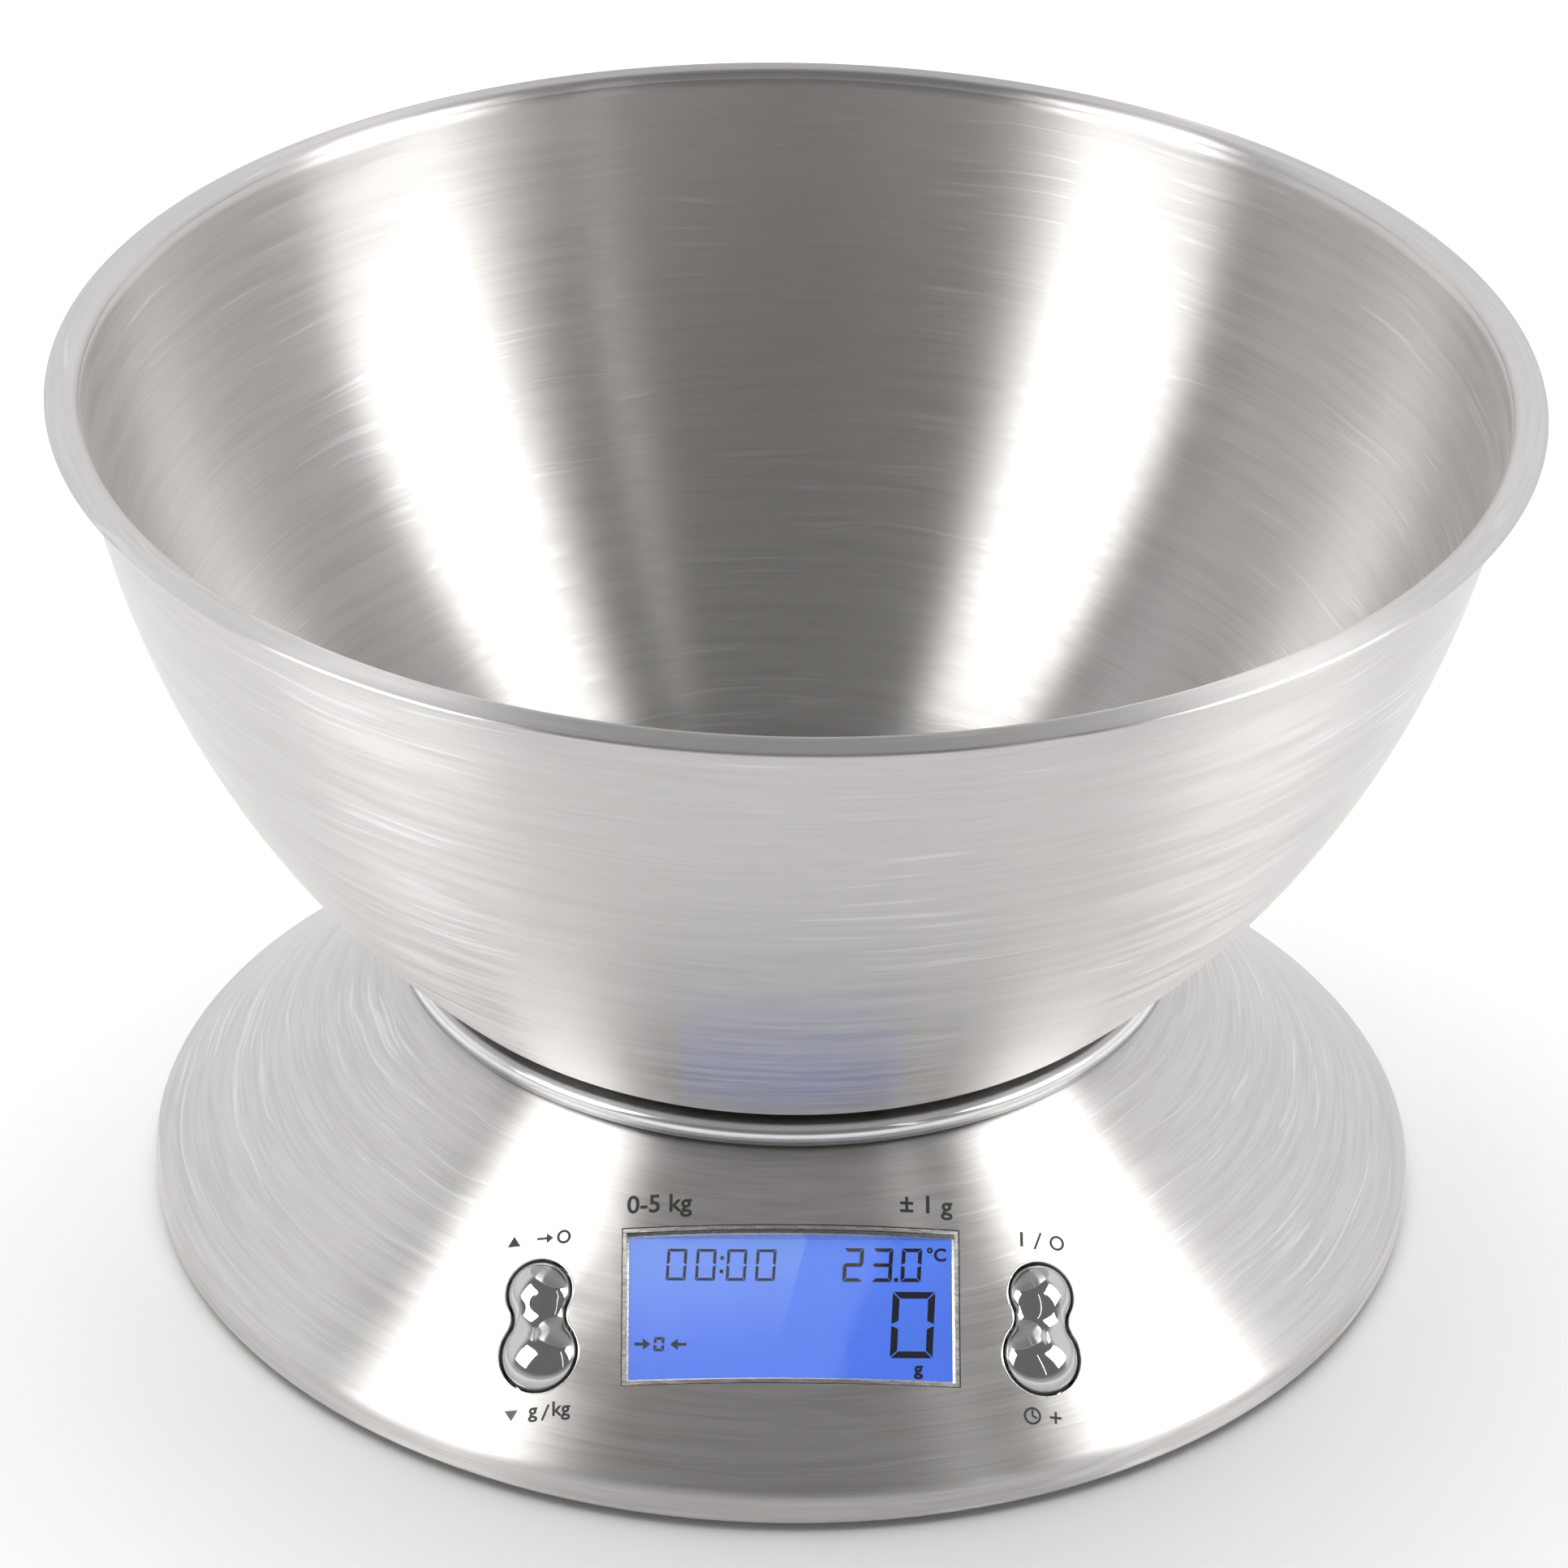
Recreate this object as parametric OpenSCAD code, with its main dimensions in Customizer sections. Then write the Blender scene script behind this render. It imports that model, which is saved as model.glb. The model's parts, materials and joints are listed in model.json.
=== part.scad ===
// Digital kitchen scale with a lift-off mixing bowl.
// Millimetres. The origin is on the table, under the middle of the base.
// +Z is up and the display faces -Y.

/* [Base] */
// Outside diameter of the base
base_d = 192; // [176:1:232]
// Slope of the conical top, degrees from level
cone_slope = 40.1; // [37:0.1:43]
// Diameter where the cone meets the level shelf under the platform
neck_d = 113; // [106:1:118]
// Height where the cone would meet the side of the base
skirt_top = 6.1; // [5.6:0.1:9]
// Height of the lower edge of the metal cover above the table
skirt_lift = 2; // [1.8:0.1:3]
// Sheet thickness of the metal cover
cover_t = 0.6; // [0.4:0.1:0.8]
// Wall of the plastic housing under the cover
housing_t = 2; // [1.6:0.1:2.4]
// Thickness of the floor of the bottom tray
tray_t = 1.6; // [1.4:0.1:2]
// Diameter of a rubber foot
foot_d = 15; // [10:1:18]

/* [Bowl] */
// Diameter over the lip of the bowl
bowl_d = 216; // [180:1:260]
// Height of the bowl
bowl_h = 93.4; // [84:0.2:112]
// Sheet thickness of the bowl
bowl_t = 0.8; // [0.5:0.1:1]
// Radius of the curve of the bowl's side
bowl_side_r = 147; // [135:1:170]
// Lean of the bowl's side just under the lip, degrees
bowl_lean = 7.5; // [5:0.1:10]
// Radius where the bowl's side turns into its floor
bowl_foot_r = 18; // [14:1:22]
// Width of the lip outside the wall
lip_w = 4.2; // [3:0.1:5.5]
// Fall of the lip towards its edge, degrees
lip_fall = 9; // [4:1:14]

/* [Platform] */
// Outside diameter of the polished dish that the bowl sits in
dish_d = 117.5; // [115:0.5:121]
// Sheet thickness of the dish
dish_t = 0.8; // [0.6:0.1:1]
// Height of the dish's rim above its floor
dish_rise = 1.35; // [1:0.05:1.8]
// Clear height between the cover's shelf and the moving platform
platform_gap = 1; // [0.8:0.1:2]

/* [Display] */
// Width of the display cut-out
cutout_w = 48.6; // [44:0.2:50]
// Height of the display cut-out along the slope
cutout_h = 23.5; // [21:0.2:25]
// Wall of the frame around the window
bezel_t = 0.55; // [0.4:0.05:0.8]
// Thickness of the clear window
window_t = 1.2; // [0.8:0.1:1.6]

/* [Keys] */
// Distance of each rocker from the middle, sideways
key_x = 36.2; // [35.4:0.1:40]
// Length of a rocker
key_len = 19.5; // [18.5:0.1:20.5]
// Radius of a rocker's upper lobe
lobe_upper_r = 4.7; // [4.3:0.1:5]
// Radius of a rocker's lower lobe
lobe_lower_r = 5.6; // [5:0.1:5.8]
// Radius of the hollow at a rocker's waist
waist_r = 3.6; // [3:0.1:5]
// Gap around a rocker in the cover
key_gap = 0.35; // [0.3:0.05:0.5]

/* [Load cell] */
// Length of the load cell bar
cell_l = 80; // [78:1:84]
// Width and height of the load cell bar
cell_w = 12.7; // [12:0.1:13.5]

/* [Battery] */
// Diameter of a battery
battery_d = 14.5; // [14:0.1:14.5]
// Length of a battery over its tip
battery_l = 50.5; // [49:0.1:50.5]

/* [Hidden] */
$fn = 48;
eps = 0.01;

// Base heights and radii
base_r = base_d / 2;
neck_r = neck_d / 2;
tray_z = skirt_lift - 0.4;
tray_top = tray_z + tray_t;
ledge_r = base_r - 0.25;
tray_r = base_r - cover_t - 0.3;
housing_d = cover_t + housing_t;
neck_hole_r = neck_r - 10.5;
shoulder_round = 2.5;
neck_round = 1.5;
foot_h = tray_z + 1;
foot_ring_r = base_r - 16;
pillar_ring_r = base_r - 12;
pillar_az = [62, 118, 242, 298];
line_d = base_r * sin(cone_slope) + skirt_top * cos(cone_slope);
function cone_z(r) = skirt_top + tan(cone_slope) * (base_r - r);
shelf_z = cone_z(neck_r);

// Display plane: local Z is square to the cone, local Y runs up the slope
disp_y = (base_r + neck_r) / 2 - 2.1;
disp_z = cone_z(disp_y);
function turn_x(p, a) = [p.x, p.y * cos(a) - p.z * sin(a), p.y * sin(a) + p.z * cos(a)];
function turn_z(p, a) = [p.x * cos(a) - p.y * sin(a), p.x * sin(a) + p.y * cos(a), p.z];
function on_display(p) = [0, -disp_y, disp_z] + turn_x(p, cone_slope);
window_d = 0.6;
window_w = cutout_w - 2 * bezel_t - 0.3;
window_h = cutout_h - 2 * bezel_t - 0.3;
glass_w = window_w + 2.4;
glass_h = window_h + 4;
glass_z = -4.8;
glass_t = 2.2;
flange_w = glass_w + 3.6;
flange_h = glass_h + 4;
flange_z = glass_z + 0.3;
flange_back = glass_z - glass_t - 0.2;
board_z = -10.3;
board_t = 1.6;
board_back = board_z - board_t;
solder_gap = 0.15;
board_w = flange_w + 4.2;
board_h = flange_h - 1.2;
boss_x = flange_w / 2 + 0.4;
boss_y = flange_h / 2 - 2.5;
ear_x = 20;
ear_y = flange_h / 2 + 2.6;

// Rocker frame: local Z is square to the cone, local Y stays in a fore-and-aft plane
key_y = disp_y - 1.95;
key_r = sqrt(key_x * key_x + key_y * key_y);
key_z = cone_z(key_r);
key_az = atan2(key_x, key_y);
key_turn = atan(tan(key_az) * cos(cone_slope));
function on_key(side, p) = [side * key_x, -key_y, key_z]
    + turn_z(turn_x(turn_z(p, -side * key_turn), cone_slope), side * key_az);
lobe_upper_y = key_len / 2 - lobe_upper_r;
lobe_lower_y = lobe_lower_r - key_len / 2;
lobe_gap = lobe_upper_y - lobe_lower_y;
upper_reach = waist_r + lobe_upper_r;
lower_reach = waist_r + lobe_lower_r;
waist_dy = (lobe_gap * lobe_gap + lower_reach * lower_reach - upper_reach * upper_reach) / (2 * lobe_gap);
waist_y = lobe_lower_y + waist_dy;
waist_x = sqrt(lower_reach * lower_reach - waist_dy * waist_dy);
waist_half = waist_x - waist_r;
dome_z = 0.1;
upper_dome = 1.9;
lower_dome = 2.2;
waist_dome = 1.2;
crown_over = 0.25;
key_flange_top = -housing_d - 0.8;
key_flange_z = key_flange_top - 1;
trunnion_z = key_flange_top - 0.8;
trunnion_r = 1;
trunnion_l = 7.9;
lug_x = 6.5;
plunger_y = 5.5;
plunger_r = 1.6;
plunger_top = key_flange_z - 0.8;
plunger_l = 1.8;
nub_r = 1.2;
nub_gap = 0.03;
switch_w = 6;
switch_h = 2;
switch_top = plunger_top - 0.7;
key_board_z = switch_top - switch_h;
key_board_t = 1;
key_board_w = 9;
key_board_l = 2 * plunger_y + switch_w + 0.6;
key_board_room = 0.3;
key_post_y = 12.2;
key_tongue_w = 5;
key_tongue_l = 2 * key_post_y + 2.8;
key_screw_r = 1.35;
key_screw_head = 0.8;
running = 0.05;

// Load cell stack on the tray
pedestal_z = tray_top + 5;
spacer_t = 1.5;
cell_z = pedestal_z + spacer_t;
cell_top = cell_z + cell_w;
cell_mid = cell_z + cell_w / 2;
cell_hole_x = [cell_l / 2 - 20, cell_l / 2 - 5];
cell_hole_r = 2.1;
screw_r = 2;
working_gap = 0.6;
platform_spacer_z = cell_top + working_gap;
hub_z = platform_spacer_z + spacer_t;
hub_x = cell_l / 2 - 12.5;
hub_w = 24;
hub_h = 16;
hub_seat_z = hub_z + 5.5;

// Platform and bowl heights
frame_z = shelf_z + platform_gap;
frame_t = 1.4;
frame_top = frame_z + frame_t;
dish_floor = frame_top + dish_t;
dish_r = dish_d / 2;
dish_round = 1.4;
dish_skirt = 1.3;
bowl_r = bowl_d / 2;
lip_bend = 0.6;
wall_top = [bowl_r - lip_w, dish_floor + bowl_h - lip_bend - bowl_t];
side_c = [wall_top.x - bowl_side_r * cos(bowl_lean), wall_top.y + bowl_side_r * sin(bowl_lean)];
foot_c = [side_c.x + sqrt(pow(bowl_side_r - bowl_foot_r, 2)
    - pow(side_c.y - dish_floor - bowl_foot_r, 2)), dish_floor + bowl_foot_r];
foot_angle = atan2(foot_c.y - side_c.y, foot_c.x - side_c.x);
lip_c = wall_top + lip_bend * [cos(bowl_lean), -sin(bowl_lean)];
lip_run = (bowl_r - bowl_t / 2 - lip_c.x - (lip_bend + bowl_t / 2) * sin(lip_fall)) / cos(lip_fall);

// Battery bay in the tray
bay_w = battery_l + 8.1;
bay_h = 2 * battery_d + 3.6;
bay_y = base_r * 0.31 + 14.3;
bay_wall = 1.6;
battery_z = tray_top + 0.6 + battery_d / 2;
bay_top = battery_z + battery_d / 2 + 1;
battery_pitch = battery_d + 0.5;
door_gap = 0.3;
door_t = 1.8;
door_front = bay_y - bay_h / 2 + door_gap;
door_back = bay_y + bay_h / 2 - door_gap;
hinge_y = door_back - door_t / 2;
hinge_z = tray_z + door_t / 2;
contact_t = 0.4;
tip_l = 1.5;

function arc(c, r, a0, a1, n) = [for (i = [0:n]) let (a = a0 + (a1 - a0) * i / n) c + r * [cos(a), sin(a)]];
function reversed(v) = [for (i = [len(v) - 1:-1:0]) v[i]];

// Section of the cover's outside, moved in by d, from the skirt's edge up to the neck hole
function skin(d, foot_z) =
    let (f1 = max(shoulder_round - d, 0.2), f2 = max(neck_round - d, 0.2),
        s = sin(cone_slope), c = cos(cone_slope),
        c1 = [base_r - d - f1, (line_d - d - f1 - (base_r - d - f1) * s) / c],
        c2 = [(line_d - d - f2 - (shelf_z - d - f2) * c) / s, shelf_z - d - f2])
    concat([[base_r - d, foot_z]], arc(c1, f1, 0, 90 - cone_slope, 8),
        arc(c2, f2, 90 - cone_slope, 90, 6), [[neck_hole_r, shelf_z - d]]);

// Everything under the cone, moved in by d
module under_cone(d) {
    rotate_extrude($fn = 180)
        polygon(concat([[0, 0], [base_r - d, 0]], skin(d, eps), [[0, shelf_z - d]]));
}

module at_display() {
    translate([0, -disp_y, disp_z]) rotate([cone_slope, 0, 0]) children();
}

module at_key(side) {
    translate([side * key_x, -key_y, key_z]) rotate([0, 0, side * key_az])
        rotate([cone_slope, 0, 0]) rotate([0, 0, -side * key_turn]) children();
}

// A block centred in X and Y, from z0 up to z1
module block(w, h, z0, z1) {
    translate([-w / 2, -h / 2, z0]) cube([w, h, z1 - z0]);
}

module post(x, y, r, z0, z1) {
    translate([x, y, z0]) cylinder(r = r, h = z1 - z0);
}

// The waisted outline of a rocker, grown by g, from z0 up to z1
module waisted(g, z0, z1) {
    post(0, lobe_upper_y, lobe_upper_r + g, z0, z1);
    post(0, lobe_lower_y, lobe_lower_r + g, z0, z1);
    difference() {
        translate([0, 0, z0]) linear_extrude(z1 - z0)
            polygon([[0, lobe_upper_y], [waist_x, waist_y], [0, lobe_lower_y], [-waist_x, waist_y]]);
        for (s = [-1, 1]) post(s * waist_x, waist_y, waist_r - g, z0 - 1, z1 + 1);
    }
}

// A smooth curve through the points p, with n steps between each two
function smooth(p, n) = [for (i = [0:len(p) - 2], k = [0:n - 1]) let (t = k / n, m = len(p) - 1,
        a = p[max(i - 1, 0)], b = p[i], c = p[i + 1], d = p[min(i + 2, m)])
    (2 * b + (c - a) * t + (2 * a - 5 * b + 4 * c - d) * t * t + (3 * b - a - 3 * c + d) * t * t * t) / 2,
    p[len(p) - 1]];
function unit(v) = v / norm(v);
function tangents(p) = [for (i = [0:len(p) - 1]) unit(p[min(i + 1, len(p) - 1)] - p[max(i - 1, 0)])];

// One side vector for each tangent, turned as little as possible from one to the next
function side_vectors(t, i, u) = let (w = unit(u - (u * t[i]) * t[i]))
    i == len(t) - 1 ? [w] : concat([w], side_vectors(t, i + 1, w));

// A round wire along a path, as one closed mesh with n flat sides
module wire(path, r, n = 6) {
    t = tangents(path);
    u = side_vectors(t, 0, [0.31, 0.83, 0.46]);
    last = len(path) - 1;
    points = [for (k = [0:last], i = [0:n - 1])
        path[k] + r * cos(360 * i / n) * u[k] + r * sin(360 * i / n) * cross(t[k], u[k])];
    faces = concat([[for (i = [0:n - 1]) i]],
        [for (k = [0:last - 1], i = [0:n - 1]) let (j = (i + 1) % n)
            [k * n + i, (k + 1) * n + i, (k + 1) * n + j, k * n + j]],
        [[for (i = [n - 1:-1:0]) last * n + i]]);
    polyhedron(points, faces);
}

// A round-headed screw: head below z = 0, thread above it
module screw(head_r, head_h, r, l) {
    difference() {
        union() {
            post(0, 0, head_r, -head_h, 0);
            post(0, 0, r, -eps, l);
        }
        for (a = [0, 90]) rotate([0, 0, a]) block(head_r * 1.3, head_r * 0.28, -head_h - 1, -head_h / 2);
    }
}

module at_feet() {
    for (a = [45:90:315]) rotate([0, 0, a]) translate([0, -foot_ring_r, 0]) children();
}

module at_pillars() {
    for (a = pillar_az) rotate([0, 0, a]) translate([0, -pillar_ring_r, 0]) children();
}

module at_cell_holes(side) {
    for (x = cell_hole_x) translate([side * x, 0, 0]) children();
}

module key_openings(g) {
    for (side = [-1, 1]) at_key(side) waisted(g, -12, 6);
}

// Brushed sheet cone with its skirt, display cut-out and two rocker cut-outs
module base_cover() {
    color("silver") difference() {
        rotate_extrude($fn = 180)
            polygon(concat(skin(0, skirt_lift), reversed(skin(cover_t, skirt_lift))));
        at_display() block(cutout_w, cutout_h, -8, 6);
        key_openings(key_gap);
    }
}

// Moulded shell that backs the cover and carries the display and the rockers
module upper_housing() {
    color("dimgray") difference() {
        union() {
            rotate_extrude($fn = 180)
                polygon(concat(skin(cover_t, tray_top), reversed(skin(housing_d, tray_top))));
            intersection() {
                under_cone(cover_t + 1);
                union() {
                    at_pillars() post(0, 0, 3.4, tray_top + 2, shelf_z);
                    at_display() for (s = [-1, 1]) post(s * ear_x, ear_y, 2.4, flange_back + 1.2, 0);
                    for (side = [-1, 1]) at_key(side) {
                        for (s = [-1, 1]) {
                            post(0, s * key_post_y, 1.5, key_board_z, 0);
                            translate([s * (lug_x + 0.75), 0, 0]) block(1.5, 3.6, trunnion_z - 2, 0);
                        }
                    }
                }
            }
        }
        at_display() {
            block(flange_w + 0.8, flange_h + 0.8, -12, 6);
            for (s = [-1, 1]) {
                for (v = [-1, 1]) post(s * boss_x, v * boss_y, 2.1, -12, -housing_d);
                post(s * ear_x, ear_y, 1.05, -12, -4);
            }
        }
        key_openings(key_gap + 0.2);
        for (side = [-1, 1]) at_key(side) {
            for (s = [-1, 1]) post(0, s * key_post_y, 0.85, -12, -4.2);
            translate([-10, 0, trunnion_z]) rotate([0, 90, 0]) cylinder(r = trunnion_r + running, h = 20);
        }
        at_pillars() post(0, 0, 1.55, 0, cone_z(pillar_ring_r) - 4);
    }
}

// Moulded floor with the load cell pedestal, overload stop, foot pockets and battery bay
module bottom_tray() {
    color("gainsboro") difference() {
        union() {
            post(0, 0, ledge_r, tray_z, skirt_lift, $fn = 180);
            post(0, 0, tray_r, tray_z, tray_top, $fn = 180);
            at_feet() post(0, 0, foot_d / 2 + 2, tray_z, tray_top + 1);
            at_pillars() post(0, 0, 4.6, tray_z, tray_top + 2);
            translate([-cell_l / 2 + 12.5, 0, 0]) block(23, 17, tray_z, pedestal_z);
            translate([cell_l / 2 - 4, 0, 0]) block(7, 10, tray_z, cell_z - 0.7);
            for (a = [0:60:300]) rotate([0, 0, a + 30]) translate([0, -base_r * 0.55, 0])
                block(1.4, base_r * 0.5, tray_z, tray_top + 2.4);
            translate([0, bay_y, 0])
                block(bay_w + 2 * bay_wall, bay_h + 2 * bay_wall, tray_z, bay_top + bay_wall);
        }
        translate([0, bay_y, 0]) block(bay_w, bay_h, tray_z - 1, bay_top);
        for (s = [-1, 1]) translate([s * 18, door_back + 2, 0]) block(8, 6, tray_top, tray_top + 4.5);
        at_feet() post(0, 0, foot_d / 2 + 0.1, tray_z - 1, foot_h);
        at_pillars() {
            post(0, 0, 3, tray_z - 1, tray_z + 2.4);
            post(0, 0, 1.7, tray_z - 1, tray_top + 3);
        }
        at_cell_holes(-1) {
            post(0, 0, 4, tray_z - 1, tray_z + 2.6);
            post(0, 0, 2.3, tray_z - 1, pedestal_z + 1);
        }
        for (side = [-1, 1]) at_key(side) key_board_space();
    }
}

module rubber_feet() {
    color("black") at_feet() {
        post(0, 0, foot_d / 2, 0.6, foot_h);
        cylinder(r1 = foot_d / 2 - 0.6, r2 = foot_d / 2, h = 0.6);
    }
}

module housing_screws() {
    color("silver") at_pillars() translate([0, 0, tray_z + 2.4]) screw(2.7, 1.9, 1.5, 8);
}

// Frame in the cut-out, with the pocket that holds the glass behind it
module display_bezel() {
    color("gray") difference() {
        union() {
            intersection() {
                under_cone(0.25);
                at_display() block(cutout_w - 0.3, cutout_h - 0.3, flange_z - 0.5, 3);
            }
            intersection() {
                under_cone(cover_t + 0.2);
                at_display() block(flange_w, flange_h, flange_back, flange_z);
            }
            at_display() for (s = [-1, 1]) {
                for (v = [-1, 1]) post(s * boss_x, v * boss_y, 1.7, board_z, flange_back + 0.8);
                post(s * ear_x, ear_y, 3, flange_back, flange_back + 1.2);
                translate([s * ear_x, ear_y - 2, 0]) block(6, 4, flange_back, flange_back + 1.2);
            }
        }
        at_display() {
            block(window_w - 0.9, window_h - 0.9, flange_back - 1, 4);
            block(glass_w + 0.4, glass_h + 0.4, flange_back - 1, glass_z);
            for (s = [-1, 1]) {
                for (v = [-1, 1]) post(s * boss_x, v * boss_y, 0.85, board_z - 1, flange_back + 0.4);
                post(s * ear_x, ear_y, 1.05, flange_back - 1, 0);
            }
        }
        intersection() {
            difference() {
                under_cone(0);
                under_cone(window_d + window_t + 0.05);
            }
            at_display() block(window_w, window_h, -12, 6);
        }
    }
}

// Clear cover of the display, curved like the cone
module display_window() {
    color("lightblue", 0.4) intersection() {
        difference() {
            under_cone(window_d);
            under_cone(window_d + window_t);
        }
        at_display() block(window_w - 0.1, window_h - 0.1, -12, 6);
    }
}

module lcd_glass() {
    color("royalblue") at_display() {
        block(glass_w, glass_h - 1.8, glass_z - glass_t / 2, glass_z);
        block(glass_w, glass_h, glass_z - glass_t, glass_z - glass_t / 2);
    }
}

module lcd_backlight() {
    color("white") at_display() translate([0, 1, 0]) {
        block(glass_w - 1.6, glass_h - 5, board_z + 0.6, glass_z - glass_t);
        for (s = [-1, 1]) translate([s * (glass_w / 2 - 4), 0, 0]) block(3, 3, board_z, board_z + 0.6);
    }
}

module lcd_connector() {
    color("pink") at_display() translate([0, -glass_h / 2 + 1, 0])
        block(glass_w - 4, 1.7, board_z, glass_z - glass_t);
}

module main_board() {
    color("green") at_display() difference() {
        block(board_w, board_h, board_z - board_t, board_z);
        for (s = [-1, 1], v = [-1, 1]) post(s * boss_x, v * boss_y, 1.05, board_z - 3, board_z + 1);
    }
}

// Four screws hold the board to the frame, and two hold the frame to the housing
module display_screws() {
    color("silver") at_display() for (s = [-1, 1]) {
        for (v = [-1, 1]) translate([s * boss_x, v * boss_y, board_back]) screw(1.5, 1, 0.8, 4.6);
        translate([s * ear_x, ear_y, flange_back]) screw(1.9, 1.1, 1, 2.9);
    }
}

module controller_chip() {
    color("black") at_display() translate([-9, 1, board_back]) {
        post(0, 0, 5.2, -0.5, 0);
        intersection() {
            translate([0, 0, 6.4]) sphere(r = 8.2);
            block(12, 12, -3, -0.5);
        }
    }
}

// Small parts soldered to the back of the board: [x, y, width, length, height]
module board_components() {
    color("tan") at_display() {
        for (p = [[3, 8, 2, 1.3, 0.8], [3, 5, 2, 1.3, 0.8], [3, 2, 2, 1.3, 0.8], [3, -4, 3, 1.6, 1.2],
                [-18, 8, 2, 1.3, 0.8], [-18, 5.5, 2, 1.3, 0.8], [-19, -1, 4, 5, 1.6], [8, -9, 5, 4, 1.5],
                [-5, -9, 3, 1.6, 1.2], [-10, -9, 3, 1.6, 1.2], [25, 3, 2, 1.3, 0.8]])
            translate([p.x, p.y, 0]) block(p[2], p[3], board_back - p[4], board_back);
        post(-23, 2, 1.9, board_back - 3.4, board_back);
    }
}

module buzzer() {
    color("black") at_display() difference() {
        post(16, 3, 6, board_back - 4.5, board_back);
        post(16, 3, 1, board_back - 5, board_back - 3.5);
    }
}

module temperature_sensor() {
    color("darkorange") at_display() {
        for (x = [24, 25.4]) post(x, -7, 0.25, board_back - 2.6, board_back);
        translate([24.7, -7, board_back - 3]) sphere(r = 1.3);
    }
}

// Room for a key board and its screw heads, cut out of what stands under it
module key_board_space() {
    low = key_board_z - key_board_t - key_board_room;
    block(key_board_w + 2 * key_board_room, key_board_l + 2 * key_board_room, low, key_board_z);
    block(key_tongue_w + 2 * key_board_room, key_tongue_l + 2 * key_board_room, low, key_board_z);
    for (s = [-1, 1]) post(0, s * key_post_y, key_screw_r + key_board_room, low - key_screw_head, low + eps);
}

module key_boards() {
    color("green") for (side = [-1, 1]) at_key(side) difference() {
        union() {
            block(key_board_w, key_board_l, key_board_z - key_board_t, key_board_z);
            block(key_tongue_w, key_tongue_l, key_board_z - key_board_t, key_board_z);
        }
        for (s = [-1, 1]) post(0, s * key_post_y, 0.9, key_board_z - 3, key_board_z + 1);
    }
}

module key_board_screws() {
    color("silver") for (side = [-1, 1], s = [-1, 1]) at_key(side)
        translate([0, s * key_post_y, key_board_z - key_board_t])
            screw(key_screw_r, key_screw_head, 0.8, 4.4);
}

module tact_switches() {
    color("dimgray") for (side = [-1, 1], s = [-1, 1]) at_key(side) translate([0, s * plunger_y, 0]) {
        difference() {
            block(switch_w, switch_w, key_board_z, switch_top);
            post(0, 0, plunger_r + running, plunger_top - plunger_l - 0.3, switch_top + 1);
        }
        for (u = [-1, 1], v = [-1, 1]) translate([u * (switch_w / 2 + 0.4), v * 2, 0])
            block(0.8, 0.8, key_board_z, key_board_z + 0.4);
    }
}

module plunger(side, s) {
    color("black") at_key(side) post(0, s * plunger_y, plunger_r, plunger_top - plunger_l, plunger_top);
}

module tare_plunger_upper() { plunger(-1, 1); }
module tare_plunger_lower() { plunger(-1, -1); }
module power_plunger_upper() { plunger(1, 1); }
module power_plunger_lower() { plunger(1, -1); }

// Radius of a ball or roller that rises by rise over a half width w
function crown_r(w, rise) = (w * w + rise * rise) / (2 * rise);

// A ball whose cap rises above dome_z and reaches just past a lobe of radius r
module cap(y, r, rise) {
    ball_r = crown_r(r + crown_over, rise);
    translate([0, y, dome_z + rise - ball_r]) sphere(r = ball_r, $fn = 96);
}

// A round-ended nub over a switch
module nub() {
    tip_z = plunger_top + nub_gap;
    rotate_extrude() polygon(concat(arc([0, tip_z + nub_r], nub_r, -90, 0, 8), [[nub_r, -0.5], [0, -0.5]]));
}

// A two-lobed domed rocker on a cross shaft, with a nub over each switch
module rocker(side) {
    saddle_r = crown_r(waist_half + crown_over, waist_dome);
    color("whitesmoke") at_key(side) {
        difference() {
            union() {
                intersection() {
                    waisted(0, key_flange_z, dome_z + lower_dome + 1);
                    union() {
                        cap(lobe_upper_y, lobe_upper_r, upper_dome);
                        cap(lobe_lower_y, lobe_lower_r, lower_dome);
                        translate([0, lobe_upper_y, dome_z + waist_dome - saddle_r]) rotate([90, 0, 0])
                            cylinder(r = saddle_r, h = lobe_gap, $fn = 96);
                        block(30, 30, key_flange_z, dome_z);
                    }
                }
                waisted(0.9, key_flange_z, key_flange_top);
            }
            difference() {
                waisted(-1.4, key_flange_z - 1, -1);
                block(20, 3.2, key_flange_z, 0);
            }
        }
        translate([-trunnion_l, 0, trunnion_z]) rotate([0, 90, 0])
            cylinder(r = trunnion_r, h = 2 * trunnion_l);
        for (s = [-1, 1]) translate([0, s * plunger_y, 0]) nub();
    }
}

module tare_rocker() { rocker(-1); }
module power_rocker() { rocker(1); }

// Aluminium bar with the two joined holes that let it bend
module load_cell() {
    color("lightgray") difference() {
        block(cell_l, cell_w, cell_z, cell_top);
        for (s = [-1, 1]) {
            translate([s * 9, cell_w, cell_mid]) rotate([90, 0, 0]) cylinder(r = 4.4, h = 2 * cell_w);
            at_cell_holes(s) post(0, 0, cell_hole_r, cell_z - 1, cell_top + 1);
        }
        block(18, 2 * cell_w, cell_mid - 1.5, cell_mid + 1.5);
    }
}

module cell_spacer(side, z) {
    difference() {
        translate([side * (cell_l / 2 - 12.5), 0, 0]) block(22, cell_w, z, z + spacer_t);
        at_cell_holes(side) post(0, 0, 2.3, z - 1, z + spacer_t + 1);
    }
}

module load_cell_spacer() {
    color("slategray") cell_spacer(-1, pedestal_z);
}

module load_cell_screws() {
    color("silver") at_cell_holes(-1) translate([0, 0, tray_z + 2.6]) screw(3.6, 2.2, screw_r, cell_mid - tray_z);
}

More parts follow.
